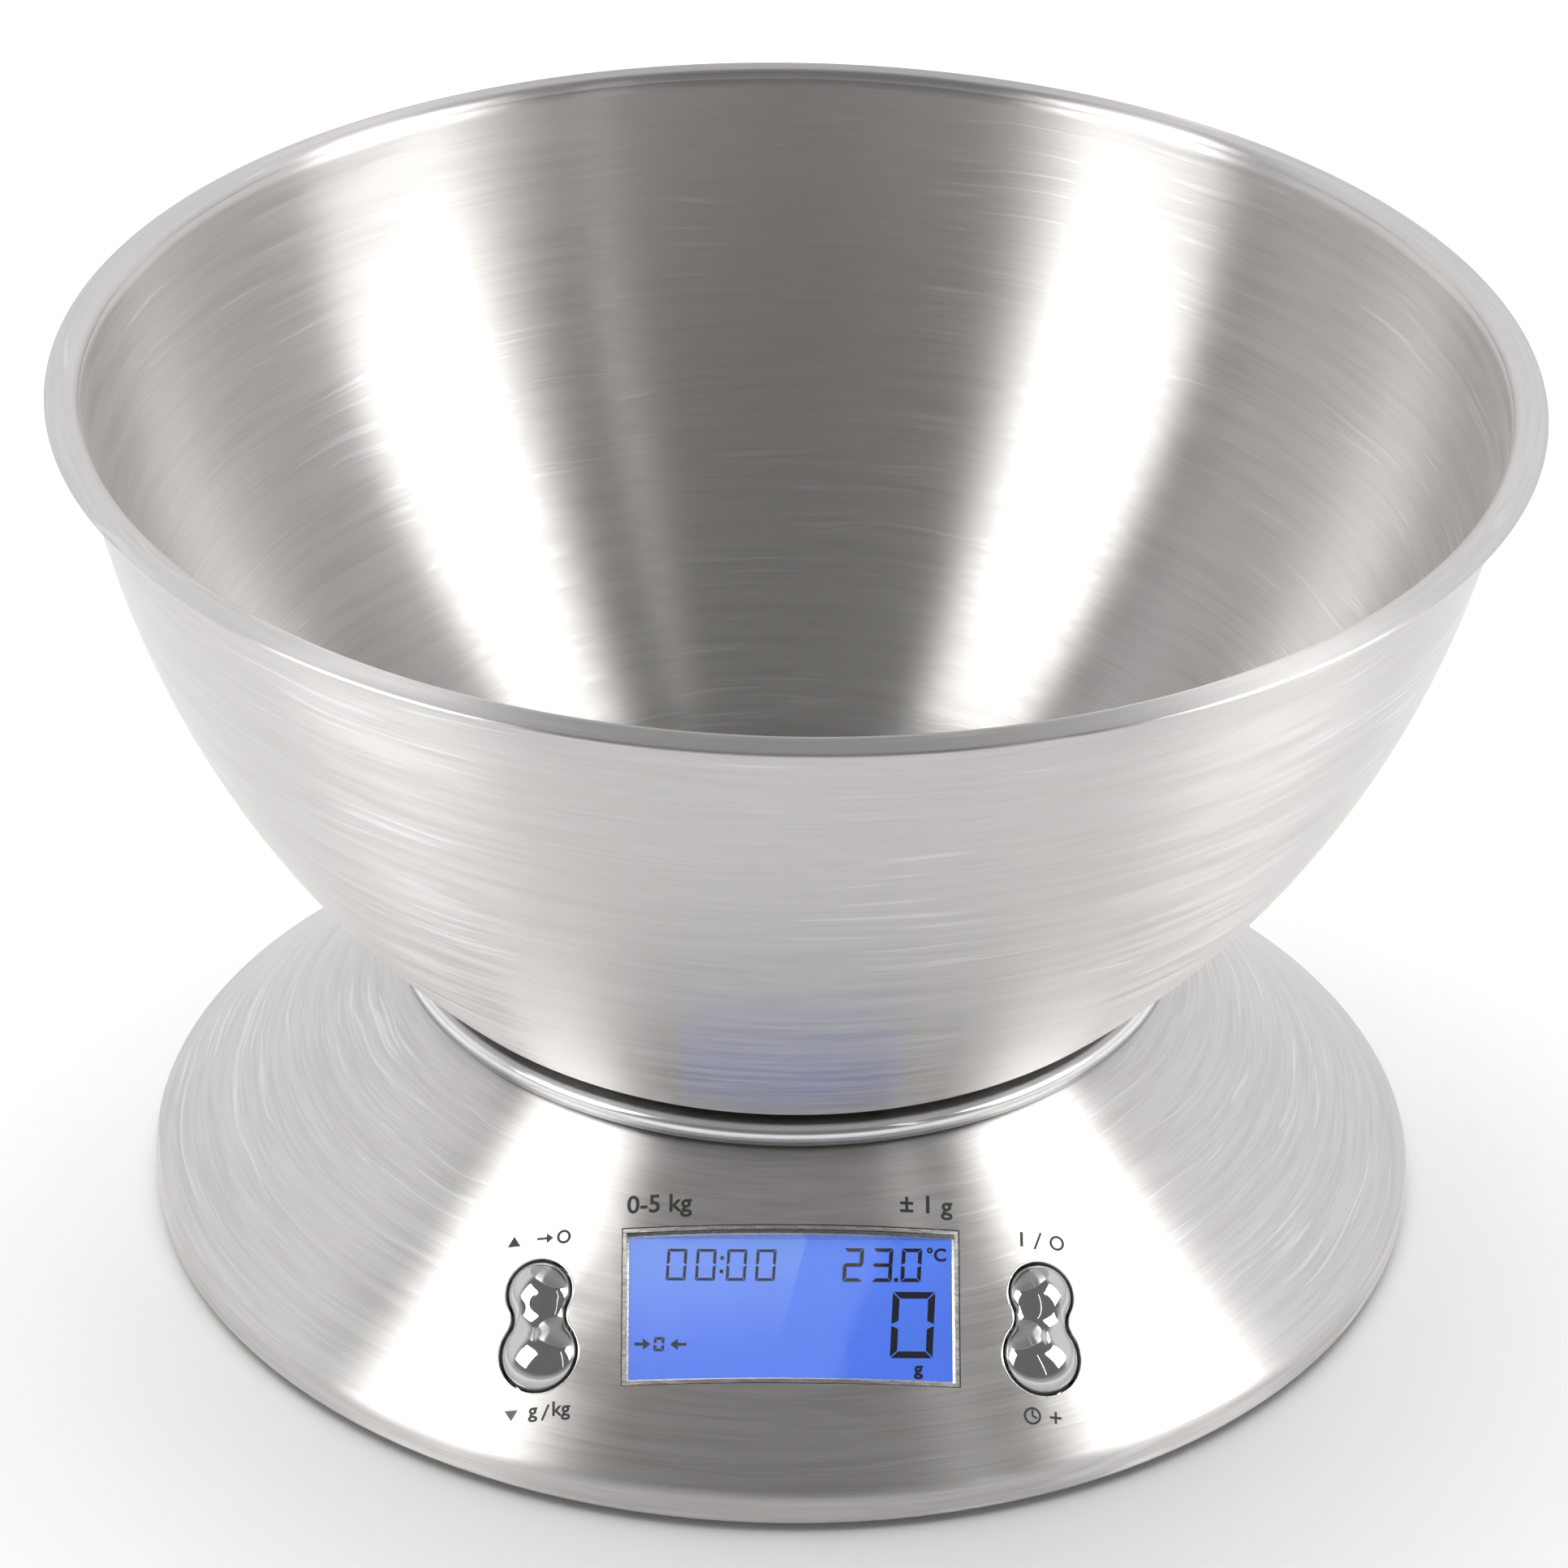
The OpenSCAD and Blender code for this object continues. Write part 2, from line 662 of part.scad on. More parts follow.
module strain_gauges() {
    color("goldenrod") for (s = [-1, 1])
        for (z = [cell_z - 0.2, cell_top]) translate([s * 9, 0, 0]) block(7, 4.5, z, z + 0.2);
}

// Soft white coat over the gauges, above and below the bar
module gauge_sealant() {
    color("white") difference() {
        union() {
            block(30, 10, cell_top, cell_top + 0.9);
            block(26, 9, cell_z - 1.1, cell_z);
        }
        for (s = [-1, 1]) translate([s * 9, 0, 0]) {
            block(7, 4.5, cell_top - 1, cell_top + 0.2);
            block(7, 4.5, cell_z - 0.2, cell_z + 1);
        }
    }
}

module load_cell_lead() {
    color("white") wire(smooth([[-14, -cell_w / 2 - 0.8, cell_z + 3], [-15, -14, 9], [-16, -disp_y * 0.45, 8],
        [-16, -disp_y * 0.66, 11], on_display([-16, 10, board_back - 5]),
        on_display([-16, 10, board_back - solder_gap])], 4), 0.8);
}

// Lead k from the bay round the end of the load cell to the board
module battery_lead(k) {
    front = bay_y - bay_h / 2 - bay_wall - solder_gap;
    shift = 3.2 * k;
    lead_z = 8.5 + 2.4 * k;
    wire(smooth([[22 + shift, front, 13], [22 + shift, front - 3, 12.5], [cell_l / 2 + 4 + shift, 13, lead_z],
        [cell_l / 2 + 4 + shift, -13, lead_z], [24 + shift, -disp_y * 0.55, lead_z],
        on_display([5 + shift, 11, board_back - 5]), on_display([5 + shift, 11, board_back - solder_gap])], 4), 0.6);
}

module battery_lead_plus() {
    color("red") battery_lead(0);
}

module battery_lead_minus() {
    color("black") battery_lead(1);
}

module key_leads() {
    key_back = key_board_z - key_board_t;
    color("white") for (side = [-1, 1])
        wire(smooth([on_key(side, [-side, key_post_y - 4, key_back - solder_gap]),
            on_key(side, [-side, key_post_y - 4, key_back - 3]), on_display([side * 25, 9, board_back - 4]),
            on_display([side * 25, 9, board_back - solder_gap])], 4), 0.6);
}

// One battery along X: the tip points to +X for dir = 1
module battery(dir) {
    tip_x = bay_w / 2 - contact_t - 0.4;
    translate([dir * (tip_x - battery_l), 0, battery_z]) rotate([0, dir * 90, 0]) {
        post(0, 0, battery_d / 2, 0, battery_l - tip_l - 0.6);
        post(0, 0, battery_d / 2 - 0.6, 0, battery_l - tip_l);
        post(0, 0, 2.6, 0, battery_l);
    }
}

module batteries() {
    color("slateblue") for (dir = [-1, 1]) translate([0, bay_y + dir * battery_pitch / 2, 0]) battery(dir);
}

// Path of a coil along +X whose radius goes from r0 to r1
function coil(r0, r1, l, turns) = [for (k = [0:turns * 12]) let (q = k / (turns * 12), r = r0 + (r1 - r0) * q)
    [l * q, r * cos(30 * k), r * sin(30 * k)]];

module battery_springs() {
    spring_wire_r = 0.4;
    spring_l = bay_w - 2 * contact_t - 0.4 - battery_l - 2 * spring_wire_r;
    color("silver") for (dir = [-1, 1])
        translate([-dir * (bay_w / 2 - contact_t - spring_wire_r), bay_y + dir * battery_pitch / 2, battery_z])
            rotate([0, 0, dir == 1 ? 0 : 180]) wire(coil(4.6, 3.2, spring_l, 4), spring_wire_r);
}

// Two single plates at one end and one bridging plate at the other
module battery_contacts() {
    color("gold") translate([0, bay_y, 0]) {
        for (s = [-1, 1]) {
            translate([bay_w / 2 - contact_t / 2, s * battery_pitch / 2, 0])
                block(contact_t, 10, battery_z - 5, battery_z + 5);
            translate([s * (bay_w / 2 - contact_t), s * battery_pitch / 2, battery_z])
                rotate([0, -s * 90, 0]) cylinder(r = 2, h = 0.4);
        }
        translate([-bay_w / 2 + contact_t / 2, 0, 0])
            block(contact_t, battery_pitch + 10, battery_z - 5, battery_z + 5);
    }
}

// Lid of the bay: it swings on two hooked tabs and is held by a springy latch
module battery_door() {
    w = bay_w - 2 * door_gap;
    color("gainsboro") difference() {
        union() {
            translate([0, (door_front + hinge_y) / 2, 0])
                block(w, hinge_y - door_front, tray_z, tray_z + door_t);
            translate([-w / 2, hinge_y, hinge_z]) rotate([0, 90, 0]) cylinder(r = door_t / 2, h = w);
            for (s = [-1, 1]) translate([s * 18, hinge_y, 0]) {
                translate([0, 1.6, 0]) block(6, 3.2, tray_top + 0.3, tray_top + 1.5);
                translate([0, 0.1, 0]) block(6, 1.2, hinge_z, tray_top + 1.5);
            }
            translate([0, door_front + 1.1, 0]) block(14, 1.2, tray_z, tray_top + 3.4);
        }
        for (k = [0:5]) translate([0, door_front + 7 + 2.2 * k, tray_z]) rotate([0, 90, 0])
            translate([0, 0, -9]) cylinder(r = 0.5, h = 18, $fn = 24);
        for (s = [-1, 1]) translate([s * 9, door_front + 2, 0]) block(1, 8, tray_z - 1, tray_z + door_t + 1);
    }
}

// Moulded disc under the dish, with the hub that stands on the load cell's free end
module platform_frame() {
    rib_z = frame_z - 6;
    color("dimgray") difference() {
        union() {
            post(0, 0, dish_r - dish_t - 0.3, frame_z, frame_top, $fn = 180);
            difference() {
                post(0, 0, neck_hole_r - 2.4, rib_z, frame_z + eps, $fn = 120);
                post(0, 0, neck_hole_r - 4, rib_z - 1, frame_z, $fn = 120);
            }
            for (a = [0:30:150]) rotate([0, 0, a]) block(2 * neck_hole_r - 6, 1.4, rib_z, frame_z + eps);
            translate([hub_x, 0, 0]) block(hub_w, hub_h, hub_z, frame_top);
        }
        at_cell_holes(1) {
            post(0, 0, 4, hub_seat_z, frame_top + 1);
            post(0, 0, 2.3, hub_z - 1, hub_seat_z + 1);
        }
    }
}

// Polished pressed dish: a level floor, a raised round rim and a short skirt
module platform_dish() {
    function dish_line(d) = let (r = dish_round - d, c = [dish_r - dish_round, dish_floor + dish_rise - dish_round])
        concat([[0, dish_floor - d], [dish_r - 8.5, dish_floor - d]],
            arc(c, r, 105, 0, 12), [[dish_r - d, dish_floor - dish_skirt]]);
    color("whitesmoke") rotate_extrude($fn = 180)
        polygon(concat(dish_line(0), reversed(dish_line(dish_t))));
}

module platform_spacer() {
    color("slategray") cell_spacer(1, platform_spacer_z);
}

module platform_screws() {
    color("silver") at_cell_holes(1) translate([0, 0, hub_seat_z]) mirror([0, 0, 1])
        screw(3.6, 2.4, screw_r, hub_seat_z - cell_z - 1);
}

// Bowl: level floor, one long curve for the side and a turned-out lip
module bowl() {
    function side(d) = concat([[0, dish_floor + d]], arc(foot_c, bowl_foot_r - d, -90, foot_angle, 12),
        arc(side_c, bowl_side_r - d, foot_angle, -bowl_lean, 32),
        arc(lip_c, lip_bend + d, 180 - bowl_lean, 90 - lip_fall, 8));
    edge_c = lip_c + (lip_bend + bowl_t / 2) * [sin(lip_fall), cos(lip_fall)]
        + lip_run * [cos(lip_fall), -sin(lip_fall)];
    edge = arc(edge_c, bowl_t / 2, -90 - lip_fall, 90 - lip_fall, 6);
    color("silver") rotate_extrude($fn = 180)
        polygon(concat(side(0), edge, reversed(side(bowl_t))));
}

base_cover();
upper_housing();
bottom_tray();
rubber_feet();
housing_screws();
display_bezel();
display_window();
lcd_glass();
lcd_backlight();
lcd_connector();
main_board();
display_screws();
controller_chip();
board_components();
buzzer();
temperature_sensor();
key_boards();
key_board_screws();
tact_switches();
load_cell();
load_cell_spacer();
load_cell_screws();
strain_gauges();
gauge_sealant();
load_cell_lead();
battery_lead_plus();
battery_lead_minus();
key_leads();
batteries();
battery_springs();
battery_contacts();
battery_door();
platform_frame();
platform_dish();
platform_spacer();
platform_screws();
bowl();
tare_rocker();
power_rocker();
tare_plunger_upper();
tare_plunger_lower();
power_plunger_upper();
power_plunger_lower();
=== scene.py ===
# %% [markdown]
# # A kitchen scale with a lift-off bowl
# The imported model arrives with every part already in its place, in metres, with +Z up and the display
# facing -Y. This lesson gives each part its finish, and rebuilds in finer form the few parts whose shine
# shows every facet: the bowl, the dish under it and the two rocker keys. The other way would be to model
# the whole scale here, but then nothing would be sure to line up with the moving parts.

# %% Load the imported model
import json
import math
import bmesh
import bpy
from mathutils import Matrix, Vector


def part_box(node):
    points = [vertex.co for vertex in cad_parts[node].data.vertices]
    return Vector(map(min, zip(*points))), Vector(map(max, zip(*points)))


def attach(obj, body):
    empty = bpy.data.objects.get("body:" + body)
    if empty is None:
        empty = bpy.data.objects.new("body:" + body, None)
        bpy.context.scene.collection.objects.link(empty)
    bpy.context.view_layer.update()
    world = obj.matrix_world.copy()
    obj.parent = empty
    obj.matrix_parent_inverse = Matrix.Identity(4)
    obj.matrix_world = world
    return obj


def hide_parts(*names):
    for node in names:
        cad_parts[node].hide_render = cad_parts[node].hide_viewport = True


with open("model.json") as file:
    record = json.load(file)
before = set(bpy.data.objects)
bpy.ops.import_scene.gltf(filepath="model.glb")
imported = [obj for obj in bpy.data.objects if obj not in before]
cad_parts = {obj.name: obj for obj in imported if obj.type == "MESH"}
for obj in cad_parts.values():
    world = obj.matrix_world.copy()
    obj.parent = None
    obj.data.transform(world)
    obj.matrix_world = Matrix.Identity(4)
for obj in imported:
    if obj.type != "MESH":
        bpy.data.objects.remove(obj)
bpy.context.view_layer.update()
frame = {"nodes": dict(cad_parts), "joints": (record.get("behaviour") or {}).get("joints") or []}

MM = 0.001
scene = bpy.context.scene
nodes = frame["nodes"]
print("pieces in the packed model:", len(nodes))

# %% [markdown]
# ## The camera
# A scale like this is usually shown from a little above the rim, from about a metre away, so that the
# display, the keys and the inside of the bowl all show. A long lens keeps the circles close to true
# ellipses. The camera could look at an empty target, but three angles say the same thing with no helper.

# %% Place the camera
CAMERA_AT = Vector((-21.6, -855.7, 575.6)) * MM
CAMERA_PAN = math.radians(1.40)      # to the right of +Y
CAMERA_TILT = math.radians(30.73)    # below level
CAMERA_ROLL = math.radians(1.14)     # the right-hand side leans down

camera = bpy.data.objects.new("camera", bpy.data.cameras.new("camera"))
camera.data.lens = 153.1
camera.data.sensor_width = 36.0
camera.data.clip_start = 0.05
camera.location = CAMERA_AT
camera.rotation_euler = (
    Matrix.Rotation(-CAMERA_PAN, 3, "Z")
    @ Matrix.Rotation(math.pi / 2 - CAMERA_TILT, 3, "X")
    @ Matrix.Rotation(CAMERA_ROLL, 3, "Z")
).to_euler()
scene.collection.objects.link(camera)
scene.camera = camera
print("camera distance from the origin:", round(CAMERA_AT.length, 3), "m")

# %% [markdown]
# ## The studio
# Brushed metal shows what is round it as long streaks, so the light is most of its look. The room here is
# pale behind and at the sides and dim in front. Two soft boxes stand left and right of the object, and a
# thin strip stands in front on the right. All three only show in reflections, so that they throw no shadows.
# A wide overhead light whitens the floor. It is hidden from reflections, because the metal would otherwise
# lose its dark bands.

# %% Build the floor and the lights
LIGHT_TARGET = Vector((0, 0, 0.06))
FLOOR_HALF = 4


def area_light(name, azimuth, elevation, distance, size, power, in_reflections=True, on_matt=True):
    """An area light that looks at the middle of the scale. Azimuth 0 is +X and 90 is +Y."""
    data = bpy.data.lights.new(name, "AREA")
    data.shape = "RECTANGLE"
    data.size, data.size_y = size
    data.energy = power
    lamp = bpy.data.objects.new(name, data)
    a, e = math.radians(azimuth), math.radians(elevation)
    away = Vector((math.cos(a) * math.cos(e), math.sin(a) * math.cos(e), math.sin(e)))
    lamp.location = LIGHT_TARGET + away * distance
    lamp.rotation_euler = away.to_track_quat("Z", "Y").to_euler()
    lamp.visible_glossy = in_reflections
    lamp.visible_diffuse = on_matt
    scene.collection.objects.link(lamp)


SOFT_BOX = dict(elevation=33, distance=1.0, size=(0.48, 0.60), power=5.2, on_matt=False)
area_light("soft_box_left", azimuth=206, **SOFT_BOX)
area_light("soft_box_right", azimuth=-15, **SOFT_BOX)
area_light("strip_front", azimuth=-55, elevation=34, distance=1.0, size=(0.02, 0.70), power=0.18,
           on_matt=False)
area_light("overhead", azimuth=110, elevation=80, distance=1.6, size=(2.6, 2.6), power=40,
           in_reflections=False)

floor_mesh = bpy.data.meshes.new("floor")
corners = [(x * FLOOR_HALF, y * FLOOR_HALF, 0) for x, y in ((-1, -1), (1, -1), (1, 1), (-1, 1))]
floor_mesh.from_pydata(corners, [], [(0, 1, 2, 3)])
floor = bpy.data.objects.new("floor", floor_mesh)
scene.collection.objects.link(floor)


# %% [markdown]
# ## Small helpers for shader nodes
# A procedural finish is a chain of small nodes. One function that adds a node and joins its inputs keeps
# each chain short enough to read from top to bottom.

# %% Helpers for shader nodes
def put(tree, kind, inputs=None, **settings):
    """Adds a shader node. inputs maps a socket's name or number to a value or to another node's output."""
    made = tree.nodes.new("ShaderNode" + kind)
    for name, value in settings.items():
        setattr(made, name, value)
    for socket, value in (inputs or {}).items():
        if isinstance(value, bpy.types.NodeSocket):
            tree.links.new(value, made.inputs[socket])
        else:
            made.inputs[socket].default_value = value
    return made


def calc(tree, operation, a, b=0.0, clamp=False):
    """One sum on one or two values."""
    return put(tree, "Math", {0: a, 1: b}, operation=operation, use_clamp=clamp).outputs[0]


def remap(tree, value, low, high, to_low=0.0, to_high=1.0):
    """A value taken smoothly from one range to another."""
    made = put(tree, "MapRange", {0: value, 1: low, 2: high, 3: to_low, 4: to_high})
    made.interpolation_type = "SMOOTHSTEP"
    return made.outputs[0]


def blend_colour(tree, factor, a, b):
    """Colour a where factor is 0, and colour b where it is 1."""
    return put(tree, "Mix", {0: factor, 6: a, 7: b}, data_type="RGBA").outputs[2]


def on_object(tree):
    """A place in the piece's own coordinates, which for every piece here are those of the whole scale."""
    return put(tree, "TexCoord").outputs["Object"]


def noise(tree, scale, detail=2.0):
    """Soft noise from 0 to 1 that stays put on a piece."""
    made = put(tree, "TexNoise", {"Vector": on_object(tree), "Scale": scale, "Detail": detail})
    return made.outputs["Fac"]


def spread(tree, value, low, high):
    """A noise taken to a range. Nearly all of a noise lies between 0.3 and 0.7."""
    return remap(tree, value, 0.3, 0.7, low, high)


# %% Helpers for groups and materials
def new_group(name, inputs, outputs):
    """An empty shader group with its sockets, and its input and output nodes."""
    group = bpy.data.node_groups.new(name, "ShaderNodeTree")
    for label, kind, value in inputs:
        socket = group.interface.new_socket(name=label, in_out="INPUT", socket_type="NodeSocket" + kind)
        socket.default_value = value
    for label, kind in outputs:
        group.interface.new_socket(name=label, in_out="OUTPUT", socket_type="NodeSocket" + kind)
    return group, group.nodes.new("NodeGroupInput"), group.nodes.new("NodeGroupOutput")


def use_group(tree, group, inputs):
    """Places a group in a material with its own values."""
    made = tree.nodes.new("ShaderNodeGroup")
    made.node_tree = group
    for socket, value in inputs.items():
        made.inputs[socket].default_value = value
    return made


def new_material(name, **sockets):
    """A Principled material, with constant values set on the shader's own sockets."""
    material = bpy.data.materials.new(name)
    material.use_nodes = True
    shader = material.node_tree.nodes["Principled BSDF"]
    for socket, value in sockets.items():
        shader.inputs[socket.replace("_", " ")].default_value = value
    return material, material.node_tree, shader


def feed(shader, **outputs):
    """Joins other nodes' outputs to a shader's sockets."""
    for socket, output in outputs.items():
        shader.id_data.links.new(output, shader.inputs[socket.replace("_", " ")])


def relief(tree, shader, height, depth):
    """Raises and lowers the surface by a height from 0 to 1 that stands for a depth in metres."""
    feed(shader, Normal=put(tree, "Bump", {"Height": height, "Strength": 1.0, "Distance": depth}).outputs[0])


def paint(piece, material):
    """Gives a piece one material."""
    piece.data.materials.clear()
    piece.data.materials.append(material)


def paint_nodes(names, material):
    """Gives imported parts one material."""
    for name in names:
        paint(nodes[name], material)
    print(material.name, "->", ", ".join(names))


# %% Finish the room and the floor
ROOM_DIM, ROOM_PALE = (0.22, 0.217, 0.21, 1), (1.0, 1.0, 1.0, 1)
SKIRTING_TONE = (0.76, 0.76, 0.78, 1)
SKIRTING_TOP, SKIRTING_SHARE = 0.30, 0.85
BEHIND_SHARE, PALE_FROM, PALE_TO = 1.2, 0.66, 1.02

room = bpy.data.worlds.new("room")
room.use_nodes = True
scene.world = room
tree = room.node_tree
direction = put(tree, "SeparateXYZ", {0: put(tree, "TexCoord").outputs["Generated"]})
sideways = calc(tree, "ABSOLUTE", direction.outputs["X"])
behind = calc(tree, "MULTIPLY", direction.outputs["Y"], BEHIND_SHARE)
paleness = remap(tree, calc(tree, "ADD", behind, sideways), PALE_FROM, PALE_TO)
tone = blend_colour(tree, paleness, ROOM_DIM, ROOM_PALE)
skirting = remap(tree, direction.outputs["Z"], 0.0, SKIRTING_TOP, SKIRTING_SHARE, 0.0)
tone = blend_colour(tree, skirting, tone, SKIRTING_TONE)
tree.links.new(tone, tree.nodes["Background"].inputs["Color"])

floor_paper = new_material(
    "floor_paper", Base_Color=(0.93, 0.93, 0.93, 1), Roughness=0.9, Specular_IOR_Level=0.2)[0]
paint(floor, floor_paper)
scene.view_settings.view_transform = "Standard"
print("room:", len(tree.nodes), "nodes")

# %% [markdown]
# ## Brushed steel
# The bowl and the cover are sheet steel, brushed on a lathe, so the fine lines run round the axis. Two
# things make the look. The shader is anisotropic: its shine spreads across the lines, which draws each
# lamp out into a streak from the centre to the edge. Then noise that is stretched round the axis gives the
# lines themselves, with a few longer scratches. The noise is laid out by direction from the axis and by
# the distance along the section, so it has no seam.

# %% Group: grain that runs round the axis
turned_grain, came_in, goes_out = new_group(
    "turned_grain",
    [("Rise", "Float", 1.0), ("Lines", "Float", 2600.0), ("Length", "Float", 5.0)],
    [("Grain", "Float"), ("Bands", "Float"), ("Scratches", "Float"), ("Height", "Float")],
)
tree = turned_grain
place = put(tree, "SeparateXYZ", {0: on_object(tree)})
x, y, z = place.outputs[0], place.outputs[1], place.outputs[2]
NEAREST = 0.001  # metres from the axis, so that the middle of a disc divides by more than zero
radius = calc(tree, "SQRT", calc(tree, "ADD", calc(tree, "MULTIPLY", x, x), calc(tree, "MULTIPLY", y, y)))
radius = calc(tree, "MAXIMUM", radius, NEAREST)
along = calc(tree, "ADD", radius, calc(tree, "MULTIPLY", z, came_in.outputs["Rise"]))
way_x, way_y = calc(tree, "DIVIDE", x, radius), calc(tree, "DIVIDE", y, radius)
DRIFT_ROUND, DRIFT_ACROSS, DRIFT_SCALE = 2.3, 25.0, 1.6


def round_noise(lines, length, detail, seed, bend=0.0):
    """Noise stretched round the axis: lines to a metre across, features to a radian round, and a bend."""
    across = calc(tree, "MULTIPLY", along, lines)
    if bend:
        lean = put(tree, "CombineXYZ", {0: calc(tree, "MULTIPLY", way_x, DRIFT_ROUND),
                                        1: calc(tree, "MULTIPLY", way_y, DRIFT_ROUND),
                                        2: calc(tree, "MULTIPLY", along, DRIFT_ACROSS)}).outputs[0]
        drift = put(tree, "TexNoise", {"Vector": lean, "Scale": DRIFT_SCALE, "Detail": 1.0}).outputs["Fac"]
        across = calc(tree, "ADD", across, calc(tree, "MULTIPLY", drift, bend))
    spot = put(tree, "CombineXYZ", {0: calc(tree, "MULTIPLY", way_x, length),
                                    1: calc(tree, "MULTIPLY", way_y, length), 2: across}).outputs[0]
    shift = (seed, 0.7 * seed, 0.3 * seed)
    moved = put(tree, "VectorMath", {0: spot, 1: shift}, operation="ADD").outputs[0]
    made = put(tree, "TexNoise", {"Vector": moved, "Scale": 1.0, "Detail": detail, "Roughness": 0.6})
    return made.outputs["Fac"]


BROAD, LONG = 0.16, 0.38  # how many lines the bands and scratches have, for each fine line
SCRATCH_DEPTH = 0.8
lines_in, length_in = came_in.outputs["Lines"], came_in.outputs["Length"]
fine = round_noise(lines_in, length_in, detail=2.0, seed=3.1)
broad = round_noise(calc(tree, "MULTIPLY", lines_in, BROAD), 3.0, detail=3.0, seed=8.3)
long_marks = round_noise(calc(tree, "MULTIPLY", lines_in, LONG), 2.6, detail=0.0, seed=21.0, bend=5.0)
patches = noise(tree, 28.0)
marks = calc(tree, "MULTIPLY", remap(tree, long_marks, 0.66, 0.74), remap(tree, patches, 0.47, 0.60))
height = calc(tree, "SUBTRACT", fine, calc(tree, "MULTIPLY", marks, SCRATCH_DEPTH))
for label, value in (("Grain", fine), ("Bands", broad), ("Scratches", marks), ("Height", height)):
    tree.links.new(value, goes_out.inputs[label])
print("group:", turned_grain.name, len(tree.nodes), "nodes")


# %% Brushed steel for the bowl and the cover
STEEL_ROUGH, ROUGH_SPREAD = 0.36, 0.03
FINE_SHARE, BAND_SHARE = 0.45, 0.55
SCRATCH_TONE, SCRATCH_SHARE = (0.95, 0.95, 0.95, 1), 0.35


def shine_round_axis(tree, shader):
    """Lays the shader's grain round the Z axis."""
    feed(shader, Tangent=put(tree, "Tangent", direction_type="RADIAL", axis="Z").outputs[0])


def brushed_steel(name, rise, light, dark, depth):
    """Steel brushed round the axis. rise is +1 where the surface climbs outwards and -1 where it falls."""
    material, tree, shader = new_material(name, Metallic=1.0, Anisotropic=0.97, Anisotropic_Rotation=0.25)
    grain = use_group(tree, turned_grain, {"Rise": rise})
    tone = calc(tree, "ADD", calc(tree, "MULTIPLY", grain.outputs["Grain"], FINE_SHARE),
                calc(tree, "MULTIPLY", grain.outputs["Bands"], BAND_SHARE))
    steel = blend_colour(tree, remap(tree, tone, 0.34, 0.64), dark, light)
    scratched = calc(tree, "MULTIPLY", grain.outputs["Scratches"], SCRATCH_SHARE)
    feed(shader, Base_Color=blend_colour(tree, scratched, steel, SCRATCH_TONE),
         Roughness=spread(tree, grain.outputs["Bands"], STEEL_ROUGH - ROUGH_SPREAD,
                          STEEL_ROUGH + ROUGH_SPREAD))
    relief(tree, shader, grain.outputs["Height"], depth)
    shine_round_axis(tree, shader)
    return material


bowl_steel = brushed_steel("bowl_steel", 1.0, light=(0.70, 0.685, 0.67, 1), dark=(0.62, 0.605, 0.59, 1),
                           depth=0.000006)
cover_steel = brushed_steel("cover_steel", -1.0, light=(0.71, 0.695, 0.68, 1), dark=(0.59, 0.575, 0.56, 1),
                            depth=0.000008)
paint_nodes(["base_cover"], cover_steel)

# %% [markdown]
# ## Turning the bowl and the dish
# A spun bowl is one sheet pressed over a form while it turns, so its section swept round the axis is the
# natural way to make it. A lathe of long straight bands would show a step at every band in the reflections.
# Here the long arcs of the section get a point every degree or two, the tight bends get a coarser step that
# their small size hides, and smooth shading does the rest.

# %% Arcs and lathes
TURN_STEPS = 288
ON_AXIS = 1e-7  # a smaller radius than this is the axis itself


def arc(centre, radius, start, stop, steps):
    """Points on an arc in the (radius, height) plane. Angles are in degrees, 0 points away from the axis."""
    swing = [math.radians(start + (stop - start) * i / steps) for i in range(steps + 1)]
    return [(centre[0] + radius * math.cos(a), centre[1] + radius * math.sin(a)) for a in swing]


def straight(a, b, steps):
    """Evenly spaced points from a to b, without b."""
    return [(a[0] + (b[0] - a[0]) * i / steps, a[1] + (b[1] - a[1]) * i / steps) for i in range(steps)]


def new_piece(name, mesh, body):
    """Links a mesh as a piece that moves with a body."""
    piece = bpy.data.objects.new(name, mesh)
    scene.collection.objects.link(piece)
    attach(piece, body)
    return piece


def lathe(name, section, body):
    """Turns a section, a list of (radius, height) in metres, about the Z axis."""
    made = bmesh.new()
    rings = []
    turn = [2 * math.pi * i / TURN_STEPS for i in range(TURN_STEPS)]
    for radius, height in section:
        if radius < ON_AXIS:
            rings.append([made.verts.new((0, 0, height))] * TURN_STEPS)
        else:
            rings.append([made.verts.new((radius * math.cos(t), radius * math.sin(t), height)) for t in turn])
    for low, high in zip(rings, rings[1:]):
        for i in range(TURN_STEPS):
            j = (i + 1) % TURN_STEPS
            corners = dict.fromkeys((low[i], low[j], high[j], high[i]))
            if len(corners) > 2:
                made.faces.new(list(corners))
    bmesh.ops.recalc_face_normals(made, faces=made.faces)
    for face in made.faces:
        face.smooth = True
    mesh = bpy.data.meshes.new(name)
    made.to_mesh(mesh)
    made.free()
    print(name, len(mesh.polygons), "faces")
    return new_piece(name, mesh, body)


# %% The bowl
bowl_low, bowl_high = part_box("bowl")
BOWL_T = 0.8 * MM  # thickness of the sheet
BOWL_R = bowl_high.x
BOWL_H = bowl_high.z - bowl_low.z
SIDE_R = 147 * MM  # radius of the side's long arc
SIDE_LEAN = 7.5  # degrees between the top of the side and upright
FOOT_R = 18 * MM  # radius of the arc between floor and side
LIP_W = 4.2 * MM
LIP_FALL = 9.0  # degrees that the lip falls outwards
LIP_BEND = 0.6 * MM
WALL_H = BOWL_H - LIP_BEND - BOWL_T


